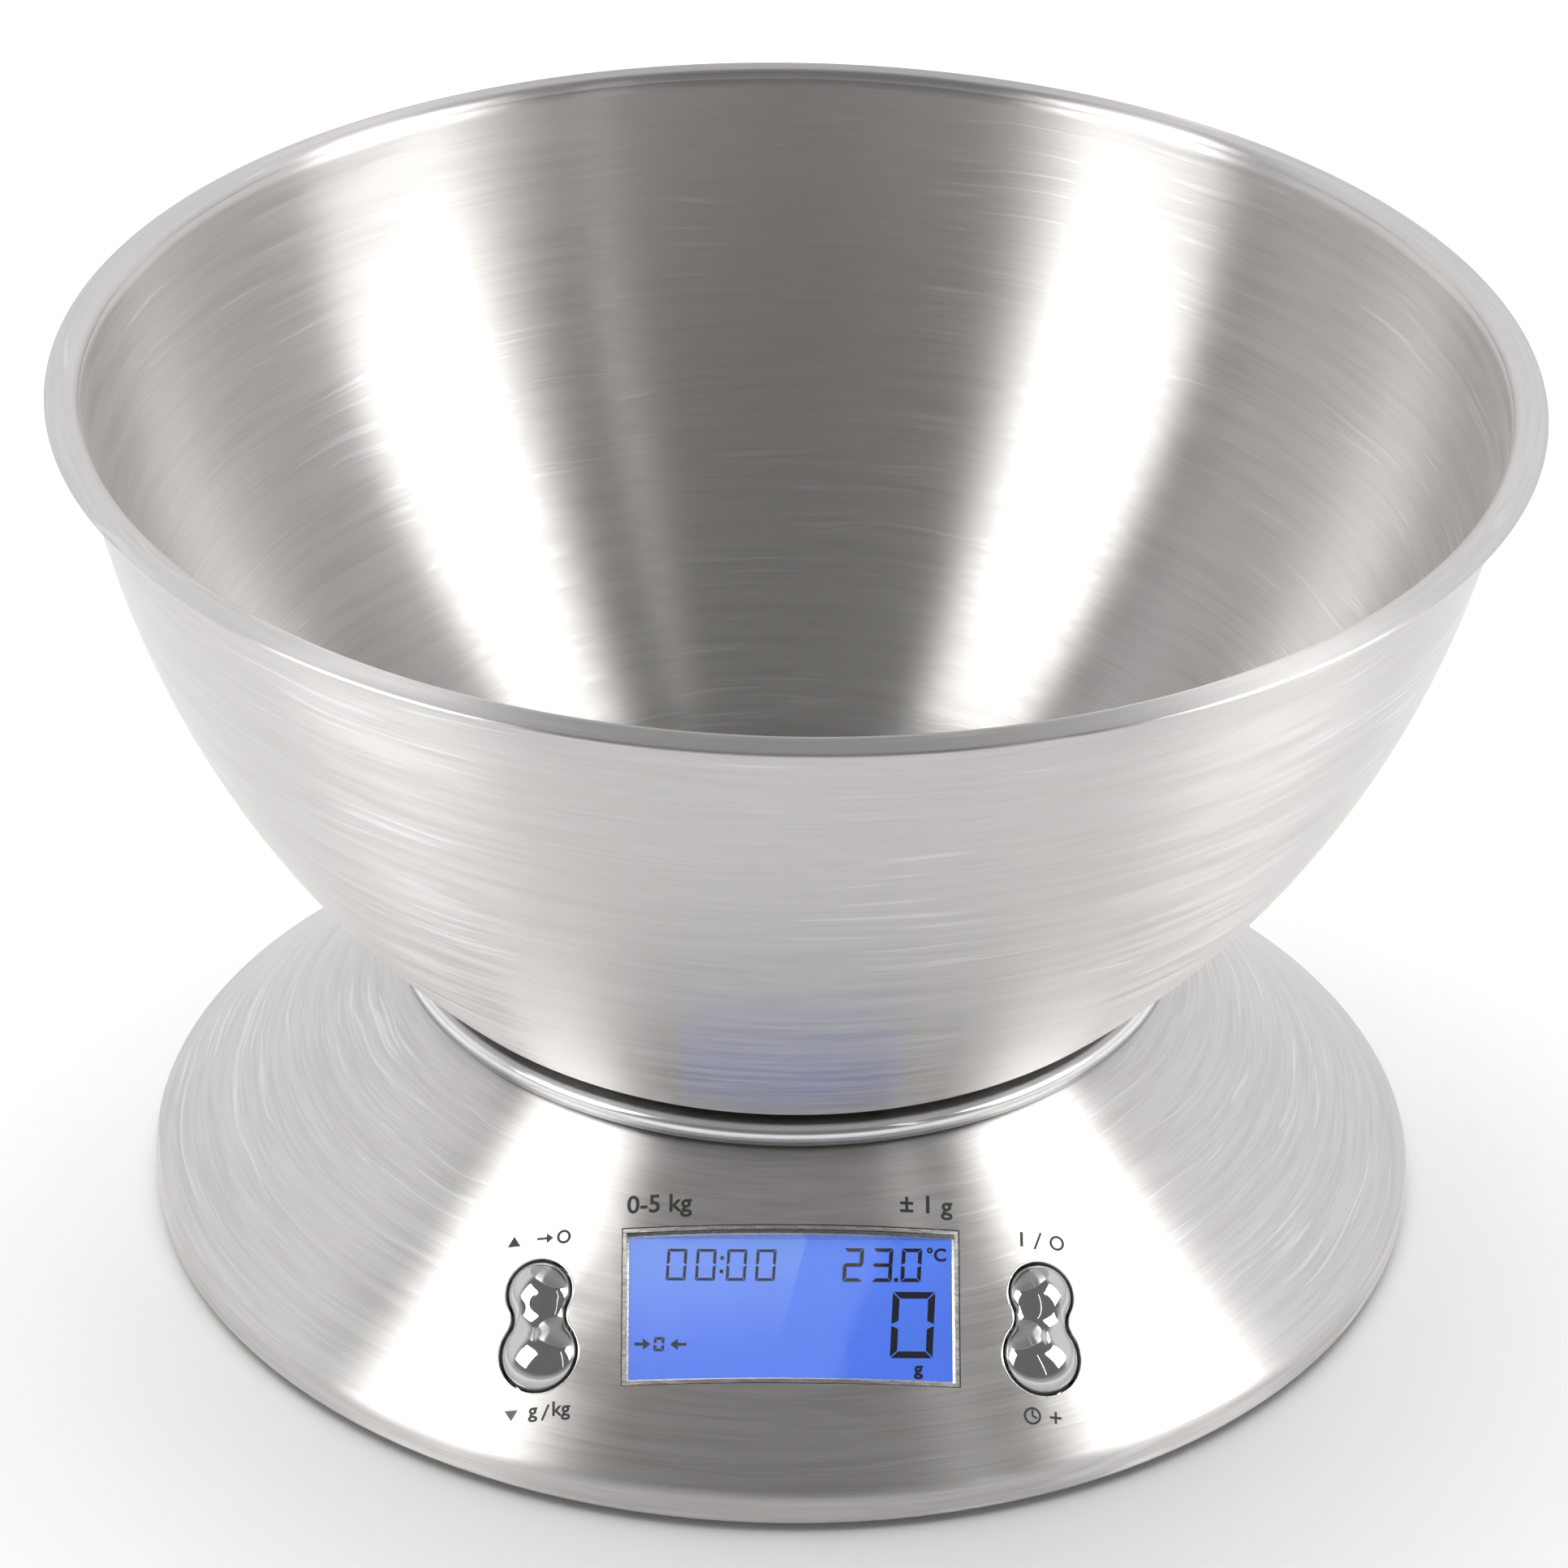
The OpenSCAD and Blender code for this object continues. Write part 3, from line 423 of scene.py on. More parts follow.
def bowl_section():
    """The sheet's section: underside of the floor, outside, lip, inside and top of the floor."""
    lean, fall = math.radians(SIDE_LEAN), math.radians(LIP_FALL)
    floor_z = bowl_low.z
    top = (BOWL_R - LIP_W, floor_z + WALL_H)
    side = (top[0] - SIDE_R * math.cos(lean), top[1] + SIDE_R * math.sin(lean))
    drop = side[1] - floor_z - FOOT_R
    foot = (side[0] + math.sqrt((SIDE_R - FOOT_R) ** 2 - drop ** 2), floor_z + FOOT_R)
    meet = math.degrees(math.atan2(foot[1] - side[1], foot[0] - side[0]))
    bend = (top[0] + LIP_BEND * math.cos(lean), top[1] - LIP_BEND * math.sin(lean))
    reach = (BOWL_R - BOWL_T / 2 - bend[0] - (LIP_BEND + BOWL_T / 2) * math.sin(fall)) / math.cos(fall)
    edge = (
        bend[0] + (LIP_BEND + BOWL_T / 2) * math.sin(fall) + reach * math.cos(fall),
        bend[1] + (LIP_BEND + BOWL_T / 2) * math.cos(fall) - reach * math.sin(fall),
    )

    def one_side(d):
        """The sheet from the axis to the lip, at a depth d inside its outer face."""
        level = (foot[0], floor_z + d)
        return (
            straight((0, level[1]), level, 10)
            + arc(foot, FOOT_R - d, -90, meet, 24)
            + arc(side, SIDE_R - d, meet, -SIDE_LEAN, 60)[1:]
            + arc(bend, LIP_BEND + d, 180 - SIDE_LEAN, 90 - LIP_FALL, 14)
        )

    inner = one_side(BOWL_T)
    rim_out = arc(edge, BOWL_T / 2, -90 - LIP_FALL, 90 - LIP_FALL, 12)
    outer = one_side(0.0)
    lip_under = straight(outer[-1], rim_out[0], 6)[1:]
    lip_top = straight(rim_out[-1], inner[-1], 6)[1:]
    return outer + lip_under + rim_out + lip_top + inner[::-1]


bowl = lathe("mixing_bowl", bowl_section(), "bowl")
paint(bowl, bowl_steel)
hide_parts("bowl")
print("bowl:", round(2 * BOWL_R / MM, 1), "mm over the lip,", round(BOWL_H / MM, 1), "mm high")

# %% [markdown]
# ## The polished dish
# The dish is a pressing with a rounded rim, polished instead of brushed. It is turned like the bowl. Its
# finish has a low roughness, with faint polishing lines so that it doesn't look like plain mirror.

# %% The dish
dish_low, dish_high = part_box("platform_dish")
DISH_T = 0.8 * MM
DISH_RISE = dish_high.z - bowl_low.z
DISH_ROUND = 1.4 * MM
DISH_FLAT_R = dish_high.x - 8.5 * MM


def dish_section():
    """Top of the dish from the axis out, round the rim and down the skirt, then back underneath."""
    crown = (dish_high.x - DISH_ROUND, bowl_low.z + DISH_RISE - DISH_ROUND)

    def one_side(d):
        """The sheet from the axis to the foot of the skirt, at a depth d under its top face."""
        level = (DISH_FLAT_R, bowl_low.z - d)
        rim = arc(crown, DISH_ROUND - d, 105, 0, 28)
        return (
            straight((0, level[1]), level, 8)
            + straight(level, rim[0], 6)
            + rim
            + [(dish_high.x - d, dish_low.z)]
        )

    return one_side(0.0) + one_side(DISH_T)[::-1]


dish = lathe("polished_dish", dish_section(), "platform")
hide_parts("platform_dish")
dish_polish, tree, shader = new_material(
    "dish_polish", Metallic=1.0, Anisotropic=0.5, Anisotropic_Rotation=0.25)
grain = use_group(tree, turned_grain, {"Rise": 0.0, "Lines": 1900.0, "Length": 2.0})
sheen = remap(tree, grain.outputs["Bands"], 0.35, 0.65)
feed(shader, Base_Color=blend_colour(tree, sheen, (0.70, 0.70, 0.70, 1), (0.80, 0.80, 0.80, 1)),
     Roughness=remap(tree, grain.outputs["Grain"], 0.35, 0.65, 0.15, 0.21))
relief(tree, shader, grain.outputs["Bands"], 0.0000006)
shine_round_axis(tree, shader)
paint(dish, dish_polish)

# %% [markdown]
# ## The rocker keys
# Each key is a plastic moulding with bright chrome plating: two round lobes joined by a waist. Its outline
# is four arcs, one round each lobe and one in each side of the waist, so it can be offset by just changing
# their radii. The dome is made of rings that shrink from the outline to a spine between the two lobe
# centres, which keeps every reflection smooth. Joining balls and prisms would leave creases that chrome
# shows at once.

# %% Where the keys are
LOBE_TOP = (5.05 * MM, 4.7 * MM)         # distance up the key from its middle, and radius
LOBE_LOW = (-4.15 * MM, 5.6 * MM)
WAIST_R = 3.6 * MM
KEY_SHAFT_DEPTH = 4.2 * MM
KEY_FLANGE = (-4.4 * MM, -3.4 * MM)
KEY_FLANGE_OVER = 0.9 * MM


def key_frame(side_name):
    """A matrix from a key's own axes to the scale: X across the key, Y up the slope, Z out of the cover."""
    tilt = next(j for j in frame["joints"] if j["name"] == side_name + "_rocker_tilt")
    push = next(j for j in frame["joints"] if j["name"] == side_name + "_plunger_upper_travel")
    across, out = Vector(tilt["axis"]).normalized(), Vector(push["axis"]).normalized()
    up = out.cross(across)
    origin = Vector(tilt["pos_m"]) + out * KEY_SHAFT_DEPTH
    made = Matrix((across, up, out)).transposed().to_4x4()
    made.translation = origin
    return made


# %% The outline of a key
gap = LOBE_TOP[0] - LOBE_LOW[0]
top_reach, low_reach = WAIST_R + LOBE_TOP[1], WAIST_R + LOBE_LOW[1]
waist_rise = (gap ** 2 + low_reach ** 2 - top_reach ** 2) / (2 * gap)
WAIST_AT = (math.sqrt(low_reach ** 2 - waist_rise ** 2), LOBE_LOW[0] + waist_rise)


def key_outline(grow, steps=22):
    """(point, spine point) pairs all round a key, grown by some amount."""
    top_turn = math.degrees(math.atan2(WAIST_AT[1] - LOBE_TOP[0], WAIST_AT[0]))
    low_turn = math.degrees(math.atan2(WAIST_AT[1] - LOBE_LOW[0], WAIST_AT[0]))
    top = arc((0, LOBE_TOP[0]), LOBE_TOP[1] + grow, 90, top_turn, steps)
    waist = arc(WAIST_AT, WAIST_R - grow, 180 + top_turn, 180 + low_turn, steps)[1:-1]
    low = arc((0, LOBE_LOW[0]), LOBE_LOW[1] + grow, low_turn, -90, steps)
    right = [(p, (0, LOBE_TOP[0])) for p in top]
    for i, p in enumerate(waist):
        t = (i + 1) / (len(waist) + 1)
        right.append((p, (0, LOBE_TOP[0] - gap * t)))
    right += [(p, (0, LOBE_LOW[0])) for p in low]
    left = [((-p[0], p[1]), s) for p, s in right[1:-1]][::-1]
    return right + left


CROWN = 2.0  # height of the upper lobe in millimetres, over the key's own zero
CROWN_LOWER = 0.25  # how much higher the lower lobe stands
CROWN_DIP = 0.85  # how deep the waist dips between them


def crown_height(y):
    """Height of a key's top along its spine."""
    t = min(max((LOBE_TOP[0] - y) / gap, 0.0), 1.0)
    dip = 0.5 - 0.5 * math.cos(2 * math.pi * t)
    return (CROWN + CROWN_LOWER * t - CROWN_DIP * dip) * MM


print("waist centre:", [round(c / MM, 2) for c in WAIST_AT], "mm from the middle of the key")


# %% Rings, tubes and clean meshes
MERGE = 1e-7  # corners closer than this are one corner


def ring_to_ring(made, low, high):
    """Joins two rings of corners with faces."""
    for i in range(len(low)):
        j = (i + 1) % len(low)
        made.faces.new((low[i], low[j], high[j], high[i]))


def add_tube(made, start, stop, profile, steps=40):
    """Adds a closed turned solid from start to stop. profile is (share of the way, radius) pairs."""
    axis = (stop - start).normalized()
    side = axis.orthogonal().normalized()
    other = axis.cross(side)
    rings = []
    for share, radius in profile:
        centre = start.lerp(stop, share)
        rings.append([
            made.verts.new(centre + side * radius * math.cos(2 * math.pi * i / steps)
                           + other * radius * math.sin(2 * math.pi * i / steps))
            for i in range(steps)
        ])
    for low, high in zip(rings, rings[1:]):
        ring_to_ring(made, low, high)
    made.faces.new(rings[0][::-1])
    made.faces.new(rings[-1])


def finish_mesh(made, name, sharp=35.0):
    """Turns a bmesh into a mesh that is smooth but for its sharp edges."""
    bmesh.ops.remove_doubles(made, verts=made.verts, dist=MERGE)
    bmesh.ops.recalc_face_normals(made, faces=made.faces)
    for face in made.faces:
        face.smooth = True
    for edge in made.edges:
        edge.smooth = len(edge.link_faces) == 2 and edge.calc_face_angle(0.0) < math.radians(sharp)
    mesh = bpy.data.meshes.new(name)
    made.to_mesh(mesh)
    made.free()
    return mesh


# %% The shape of a key
KEY_EDGE = -0.55 * MM  # where the dome's edge starts
DOME_STEPS = 26
DOME_SHOULDER, DOME_ROUND = 2.1, 0.60
CROWN_FOLLOW = 0.35  # how much the dome's edge follows the rise and fall of the crown
SHAFT_HALF, SHAFT_R, SHAFT_TIP_R = 7.9 * MM, 1.0 * MM, 0.8 * MM
NUB_Y, NUB_TIP_Z = 5.5 * MM, -5.17 * MM


def key_mesh(name, place):
    """The domed top, the skirt and flange under it, the cross shaft and the two nubs."""
    made = bmesh.new()
    outline = key_outline(0.0)
    wide = key_outline(KEY_FLANGE_OVER)

    def flat_ring(points, z):
        """One level ring of corners."""
        return [made.verts.new((p[0], p[1], z)) for p, _ in points]

    rings = [flat_ring(wide, z) for z in KEY_FLANGE]
    rings += [flat_ring(outline, z) for z in (KEY_FLANGE[1], KEY_EDGE * 2, KEY_EDGE)]
    for k in range(1, DOME_STEPS + 1):
        s = 1 - math.cos(math.pi / 2 * k / DOME_STEPS)
        full = max(0.0, 1 - max(0.0, 1 - s) ** DOME_SHOULDER) ** DOME_ROUND
        ring = []
        for (px, py), (sx, sy) in outline:
            x, y = px + (sx - px) * s, py + (sy - py) * s
            top = crown_height(sy + (py - sy) * CROWN_FOLLOW * (1 - s))
            ring.append(made.verts.new((x, y, KEY_EDGE + (top - KEY_EDGE) * full)))
        rings.append(ring)
    for low, high in zip(rings, rings[1:]):
        ring_to_ring(made, low, high)
    made.faces.new(rings[0][::-1])
    bmesh.ops.remove_doubles(made, verts=made.verts, dist=MERGE)
    add_tube(made, Vector((-SHAFT_HALF, 0, -KEY_SHAFT_DEPTH)), Vector((SHAFT_HALF, 0, -KEY_SHAFT_DEPTH)),
             [(0, SHAFT_TIP_R), (0.012, SHAFT_R), (0.988, SHAFT_R), (1, SHAFT_TIP_R)])
    for y in (-NUB_Y, NUB_Y):
        add_tube(made, Vector((0, y, NUB_TIP_Z)), Vector((0, y, KEY_FLANGE[0])),
                 [(0, 0.4 * MM), (0.15, 0.85 * MM), (0.5, 1.15 * MM), (1, 1.2 * MM)])
    bmesh.ops.transform(made, matrix=place, verts=made.verts)
    return finish_mesh(made, name)


# %% Plate and place both keys
chrome, tree, shader = new_material("key_chrome", Metallic=1.0)
cloudy = noise(tree, 420.0, detail=3.0)
feed(shader, Base_Color=blend_colour(tree, cloudy, (0.52, 0.525, 0.54, 1), (0.62, 0.62, 0.635, 1)),
     Roughness=spread(tree, cloudy, 0.03, 0.07))
relief(tree, shader, cloudy, 0.000004)

key_places = {side: key_frame(side) for side in ("tare", "power")}
for side, place in key_places.items():
    key = new_piece(side + "_key", key_mesh(side + "_key", place), side + "_rocker")
    paint(key, chrome)
    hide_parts(side + "_rocker")
    print(key.name, "stands at", [round(c / MM, 1) for c in place.translation])

# %% [markdown]
# ## Rolled edges of the key openings
# Where the sheet is punched, its edge turns in a little and catches the light as a fine bright line. The
# cover is modelled with square edges, so a thin bead is laid round each key's opening. A bevel on the cover
# would do as well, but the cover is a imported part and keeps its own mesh.

# %% The cone as a surface to draw on
cover_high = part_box("base_cover")[1]
CONE_SLOPE = math.radians(40.1)
CONE_FOOT = (cover_high.x, 6.1 * MM)
DROP_STEPS = 6


def cone_height(x, y):
    """Height of the cover's outside at a place on the cone."""
    return CONE_FOOT[1] + math.tan(CONE_SLOPE) * (CONE_FOOT[0] - math.hypot(x, y))


def cone_normal(x, y):
    """The way out of the cone at a place on it."""
    r = math.hypot(x, y)
    return Vector((x / r * math.sin(CONE_SLOPE), y / r * math.sin(CONE_SLOPE), math.cos(CONE_SLOPE)))


def drop_to_cone(place, x, y, lift=0.0):
    """A point in a tangent frame taken along its own Z onto the cone, then lifted off it."""
    out = (place.to_3x3() @ Vector((0, 0, 1))).normalized()
    p = place @ Vector((x, y, 0))
    for _ in range(DROP_STEPS):
        miss = p.z - cone_height(p.x, p.y)
        p = p - out * miss * math.cos(CONE_SLOPE)
    return p + cone_normal(p.x, p.y) * lift


print("cone foot:", [round(c / MM, 1) for c in CONE_FOOT], "mm")


# %% Lay the beads
KEY_OPENING = 0.35 * MM
BEAD_R = 0.14 * MM
BEAD_SINK = 0.08 * MM


def bead(name, points, radius, body, material, sides=10):
    """A thin round bead along a closed loop of points."""
    made = bmesh.new()
    rings = []
    for i, p in enumerate(points):
        along = (points[(i + 1) % len(points)] - points[i - 1]).normalized()
        out = cone_normal(p.x, p.y)
        side = along.cross(out).normalized()
        rings.append([
            made.verts.new(p + side * radius * math.cos(a) + out * radius * math.sin(a))
            for a in (2 * math.pi * k / sides for k in range(sides))
        ])
    for i in range(len(rings)):
        ring_to_ring(made, rings[i], rings[(i + 1) % len(rings)])
    piece = new_piece(name, finish_mesh(made, name, 180.0), body)
    paint(piece, material)
    print(name, len(piece.data.polygons), "faces")


rolled, tree, shader = new_material("rolled_edge", Metallic=1.0, Roughness=0.22)
worn = noise(tree, 900.0)
feed(shader, Base_Color=blend_colour(tree, worn, (0.55, 0.55, 0.55, 1), (0.90, 0.90, 0.90, 1)))
for side, place in key_places.items():
    loop = [drop_to_cone(place, p[0], p[1], -BEAD_SINK) for p, _ in key_outline(KEY_OPENING + BEAD_R, 16)]
    bead(side + "_opening_edge", loop, BEAD_R, "base", rolled)


# %% [markdown]
# ## The display
# Behind the clear window lies the glass of a blue backlit display. Its lit field is paler towards the top.
# Left of a slanting line a painted reflection is laid into the glow: a paler blue for light on the protective
# film.
# The digits are thin flat shapes laid just over the glass, because a picture of digits would need an image
# file.

# %% The display's own axes
DISPLAY_Y = 74.15 * MM  # from the axis to the middle of the display
GLASS_Z = -4.8 * MM  # the glass lies this far under the cone
INK_T = 0.05 * MM
display_place = Matrix.Rotation(CONE_SLOPE, 4, "X")
display_place.translation = Vector((0, -DISPLAY_Y, cone_height(0, DISPLAY_Y)))
print("display middle:", [round(c / MM, 2) for c in display_place.translation])

# %% The lit field
BLUE_LOW, BLUE_TOP = (0.058, 0.175, 0.84, 1), (0.085, 0.225, 0.90, 1)
# The first blue on the next line is a painted reflection: a paler blue standing for light caught by the
# protective film.
BLUE_FILM_REFLECTION, BLUE_CLOUD = (0.22, 0.37, 0.88, 1), (0.02, 0.08, 0.50, 1)
UNLIT = (0.0, 0.0, 0.02, 1)
# Lean, edge and share of the painted reflection on the protective film.
FILM_REFLECTION_LEAN, FILM_REFLECTION_EDGE, FILM_REFLECTION_SHARE = 0.27, (-0.6, -0.35), 0.55  # the edge is in millimetres across
FADE_LEAN, FADE_SPAN, CLOUD_SHARE = 0.12, (-8.0, 13.0), 0.10  # the span is in millimetres up

lit, tree, shader = new_material("lit_display", Roughness=0.25, Emission_Strength=1.0)
turned = put(tree, "Mapping", {"Vector": on_object(tree), "Rotation": (-CONE_SLOPE, 0.0, 0.0),
                               "Scale": (1 / MM, 1 / MM, 1 / MM)}, vector_type="POINT").outputs[0]
spot = put(tree, "SeparateXYZ", {0: turned})
middle = (display_place.to_3x3().inverted() @ display_place.translation) / MM
up = calc(tree, "SUBTRACT", spot.outputs["Y"], middle.y)
across = spot.outputs["X"]
# Left of a slanting line the field takes a painted reflection, a paler blue for light caught by the
# protective film, stronger towards the top.
slant = calc(tree, "SUBTRACT", across, calc(tree, "MULTIPLY", up, FILM_REFLECTION_LEAN))
film_reflection = remap(tree, slant, *FILM_REFLECTION_EDGE, 1.0, 0.0)
fade = remap(tree, calc(tree, "SUBTRACT", up, calc(tree, "MULTIPLY", across, FADE_LEAN)), *FADE_SPAN)
field = blend_colour(tree, fade, BLUE_LOW, BLUE_TOP)
film_reflection_share = calc(tree, "MULTIPLY", film_reflection, calc(tree, "MULTIPLY", fade, FILM_REFLECTION_SHARE))
field = blend_colour(tree, film_reflection_share, field, BLUE_FILM_REFLECTION)
clouds = calc(tree, "MULTIPLY", noise(tree, 260.0), CLOUD_SHARE)
field = blend_colour(tree, clouds, field, BLUE_CLOUD)
feed(shader, Emission_Color=field, Base_Color=blend_colour(tree, 0.5, field, UNLIT))
paint_nodes(["lcd_glass"], lit)

# %% The clear window
clear, tree, shader = new_material("clear_window", Transmission_Weight=1.0, IOR=1.45)
feed(shader, Roughness=spread(tree, noise(tree, 350.0, detail=3.0), 0.01, 0.04))
paint_nodes(["display_window"], clear)


# %% Flat shapes in ink
def ink_mesh(name, faces, place_point):
    """Faces given as flat (x, y) outlines, laid on a surface by place_point."""
    made = bmesh.new()
    for outline in faces:
        made.faces.new([made.verts.new(place_point(x, y)) for x, y in outline])
    mesh = bpy.data.meshes.new(name)
    made.to_mesh(mesh)
    made.free()
    return mesh


SEGMENTS = {"0": "abcdef", "2": "abged", "3": "abgcd"}


def digit(char, x, y, w, h, t, lean=0.06):
    """Outlines of a seven-segment digit whose lower left corner is at x, y, with strokes t wide."""
    gap = 0.12 * t
    half = h / 2
    corners = {
        "a": (0, h, w, h), "g": (0, half, w, half), "d": (0, 0, w, 0),
        "f": (0, half, 0, h), "e": (0, 0, 0, half), "b": (w, half, w, h), "c": (w, 0, w, half),
    }
    shapes = []
    for key in SEGMENTS[char]:
        x0, y0, x1, y1 = corners[key]
        inward = {"a": -1, "d": 1, "b": -1, "c": -1, "e": 1, "f": 1, "g": 0}[key]
        if key == "g":
            flat = [(gap, 0), (t / 2 + gap, t / 2), (w - t / 2 - gap, t / 2), (w - gap, 0),
                    (w - t / 2 - gap, -t / 2), (t / 2 + gap, -t / 2)]
            pts = [(px, half + py) for px, py in flat]
        elif y0 == y1:
            pts = [(x0 + gap, y0), (x1 - gap, y0), (x1 - t - gap, y0 + inward * t),
                   (x0 + t + gap, y0 + inward * t)]
        else:
            top_cut = t if y1 == h else t / 2
            low_cut = t if y0 == 0 else t / 2
            pts = [(x0, y0 + gap), (x0, y1 - gap), (x0 + inward * t, y1 - gap - top_cut),
                   (x0 + inward * t, y0 + gap + low_cut)]
        shapes.append([(x + px + lean * py, y + py) for px, py in pts])
    return shapes


# %% Boxes, letters and their ink
FONT_CAPITAL = 0.70  # height of a capital in the built-in font, as a share of its size


def box_shape(x, y, w, h):
    """The outline of an upright box whose lower left corner is at x, y."""
    return [(x, y), (x + w, y), (x + w, y + h), (x, y + h)]


def letters(text, x, y, height, weight=0.0):
    """Outlines of a short mark in plain letters, as flat faces, from the built-in font."""
    curve = bpy.data.curves.new("mark", "FONT")
    curve.body = text
    curve.size = height / FONT_CAPITAL
    curve.offset = weight
    curve.resolution_u = 6
    holder = bpy.data.objects.new("mark", curve)
    scene.collection.objects.link(holder)
    flat = bpy.data.meshes.new_from_object(holder.evaluated_get(bpy.context.evaluated_depsgraph_get()))
    spots = [(x + v.co.x, y + v.co.y) for v in flat.vertices]
    shapes = [[spots[i] for i in f.vertices] for f in flat.polygons]
    bpy.data.objects.remove(holder)
    bpy.data.curves.remove(curve)
    bpy.data.meshes.remove(flat)
    return shapes


def ink_finish(name, dark, light, grain_scale, **sockets):
    """A printing ink that varies a little between two tones."""
    material, tree, shader = new_material(name, **sockets)
    feed(shader, Base_Color=blend_colour(tree, noise(tree, grain_scale), (*dark, 1), (*light, 1)))
    return material


# %% What the display says
def on_glass(x, y):
    """A point of the display's ink, from millimetres across and up its face."""
    return display_place @ Vector((x * MM, y * MM, GLASS_Z + INK_T))


display_ink = ink_finish("display_ink", (0.003, 0.003, 0.010), (0.012, 0.012, 0.030), 3000.0,
                         Roughness=0.45, Specular_IOR_Level=0.2)
ARROW_Y, ARROW_HALF, ARROW_HEAD, ARROW_T = -5.05, 0.85, 1.1, 0.45

shapes = []
for left in (-17.9, -13.7, -9.3, -5.1):  # the clock
    shapes += digit("0", left, 4.4, w=2.85, h=4.7, t=0.42)
shapes += [box_shape(-10.15, 5.5, 0.5, 0.55), box_shape(-10.05, 7.5, 0.5, 0.55)]
for char, left in (("2", 7.4), ("3", 11.6), ("0", 15.75)):  # the room's temperature
    shapes += digit(char, left, 4.35, w=2.9, h=5.0, t=0.55)
shapes += [box_shape(14.85, 4.35, 0.6, 0.6)]
shapes += letters("°C", 19.5, 7.5, height=1.85, weight=0.07)
shapes += digit("0", 14.2, -6.9, w=6.1, h=9.8, t=1.0, lean=0.05)  # the load
shapes += letters("g", 17.7, -9.3, height=1.9, weight=0.09)
shapes += digit("0", -19.6, -6.1, w=1.5, h=2.1, t=0.42)  # the zero between two arrows
for tip, tail in ((-20.0, -22.3), (-17.2, -14.9)):
    way = 1 if tip > tail else -1
    back = tip - way * ARROW_HEAD
    shapes.append([(tip, ARROW_Y), (back, ARROW_Y + ARROW_HALF), (back, ARROW_Y - ARROW_HALF)][::way])
    shapes.append(box_shape(min(tail, tip - way * 1.0), -5.27, abs(tip - way * 1.0 - tail), ARROW_T))
digits = new_piece("display_digits", ink_mesh("display_digits", shapes, on_glass), "base")
paint(digits, display_ink)
print("display shapes:", len(shapes))

# %% [markdown]
# ## The printed marks
# Small dark marks are printed on the steel: the greatest load and the finest step above the display, and
# one above and below each key. They are plain arrows and signs. Each mark is drawn flat, then dropped onto
# the cone and lifted by the thickness of the ink.

# %% Marks on the cover
def circle_band(x, y, r, t, start=0.0, stop=360.0, steps=40):
    """A ring, or part of one, as small four-sided faces."""
    outer, inner = arc((x, y), r, start, stop, steps), arc((x, y), r - t, start, stop, steps)
    return [[outer[i], outer[i + 1], inner[i + 1], inner[i]] for i in range(steps)]


def bar(x0, y0, x1, y1, t):
    """A straight stroke with square ends."""
    a, b = Vector((x0, y0)), Vector((x1, y1))
    side = (b - a).normalized().orthogonal() * t / 2
    return [[tuple(a + side), tuple(b + side), tuple(b - side), tuple(a - side)]]


PRINT_T = 0.02 * MM


def printed(name, place, shapes, material):
    """Ink shapes in millimetres in a tangent frame, laid on the cone."""
    def on_cone(x, y):
        """A point of the ink on the cone."""
        return drop_to_cone(place, x * MM, y * MM, PRINT_T)

    piece = new_piece(name, ink_mesh(name, shapes, on_cone), "base")
    for face in piece.data.polygons:
        if face.normal.z < 0:
            face.flip()
    paint(piece, material)
    print(name, len(shapes), "shapes")


# %% Print the marks
print_ink = ink_finish("printed_ink", (0.010, 0.010, 0.010), (0.035, 0.034, 0.033), 2200.0, Roughness=0.5)
pale_ink = ink_finish("pale_printed_ink", (0.12, 0.12, 0.12), (0.18, 0.18, 0.18), 2200.0, Roughness=0.5)

printed("capacity_mark", display_place, letters("0-5 kg", -23.6, 13.9, height=2.6, weight=0.07), print_ink)
printed("step_mark", display_place, letters("± 1 g", 15.6, 14.0, height=2.6, weight=0.07), print_ink)
tare, power = key_places["tare"], key_places["power"]
printed("tare_mark", tare,
        [[(-4.9, 12.3), (-2.9, 12.3), (-3.9, 13.9)]]  # an arrow up
        + bar(-0.4, 13.1, 1.2, 13.1, t=0.36) + [[(2.1, 13.1), (1.1, 13.85), (1.1, 12.35)]]  # one across
        + circle_band(3.7, 13.1, r=1.05, t=0.38), print_ink)  # a zero
printed("unit_arrow", tare, [[(-4.9, -12.4), (-3.9, -14.0), (-2.9, -12.4)]], pale_ink)
printed("unit_mark", tare,
        letters("g", -1.3, -13.6, height=2.1, weight=0.06) + bar(0.7, -14.2, 1.7, -11.9, t=0.32)
        + letters("kg", 2.1, -13.6, height=2.1, weight=0.06), print_ink)
printed("power_mark", power,
        bar(-2.9, 12.1, -2.9, 14.3, t=0.42) + bar(-0.9, 11.9, 0.1, 14.5, t=0.32)  # on / off
        + circle_band(2.6, 13.2, r=1.15, t=0.38), print_ink)
printed("clock_mark", power,
        circle_band(-1.6, -13.2, r=1.3, t=0.34) + bar(-1.6, -13.2, -1.6, -12.3, t=0.3)  # a clock face
        + bar(-1.6, -13.2, -0.9, -13.5, t=0.3)
        + bar(1.0, -13.2, 2.8, -13.2, t=0.36) + bar(1.9, -14.1, 1.9, -12.3, t=0.36),  # a plus sign
        print_ink)

# %% [markdown]
# ## Moulded, machined and wired pieces
# Inside the base are many small pieces: plastic mouldings, boards, screws, wires and two cells. Most of them
# need the same two effects, a soft unevenness of colour and a fine texture that breaks up the shine. A node
# group gives both once, and every finish places it with its own scale and stretch.

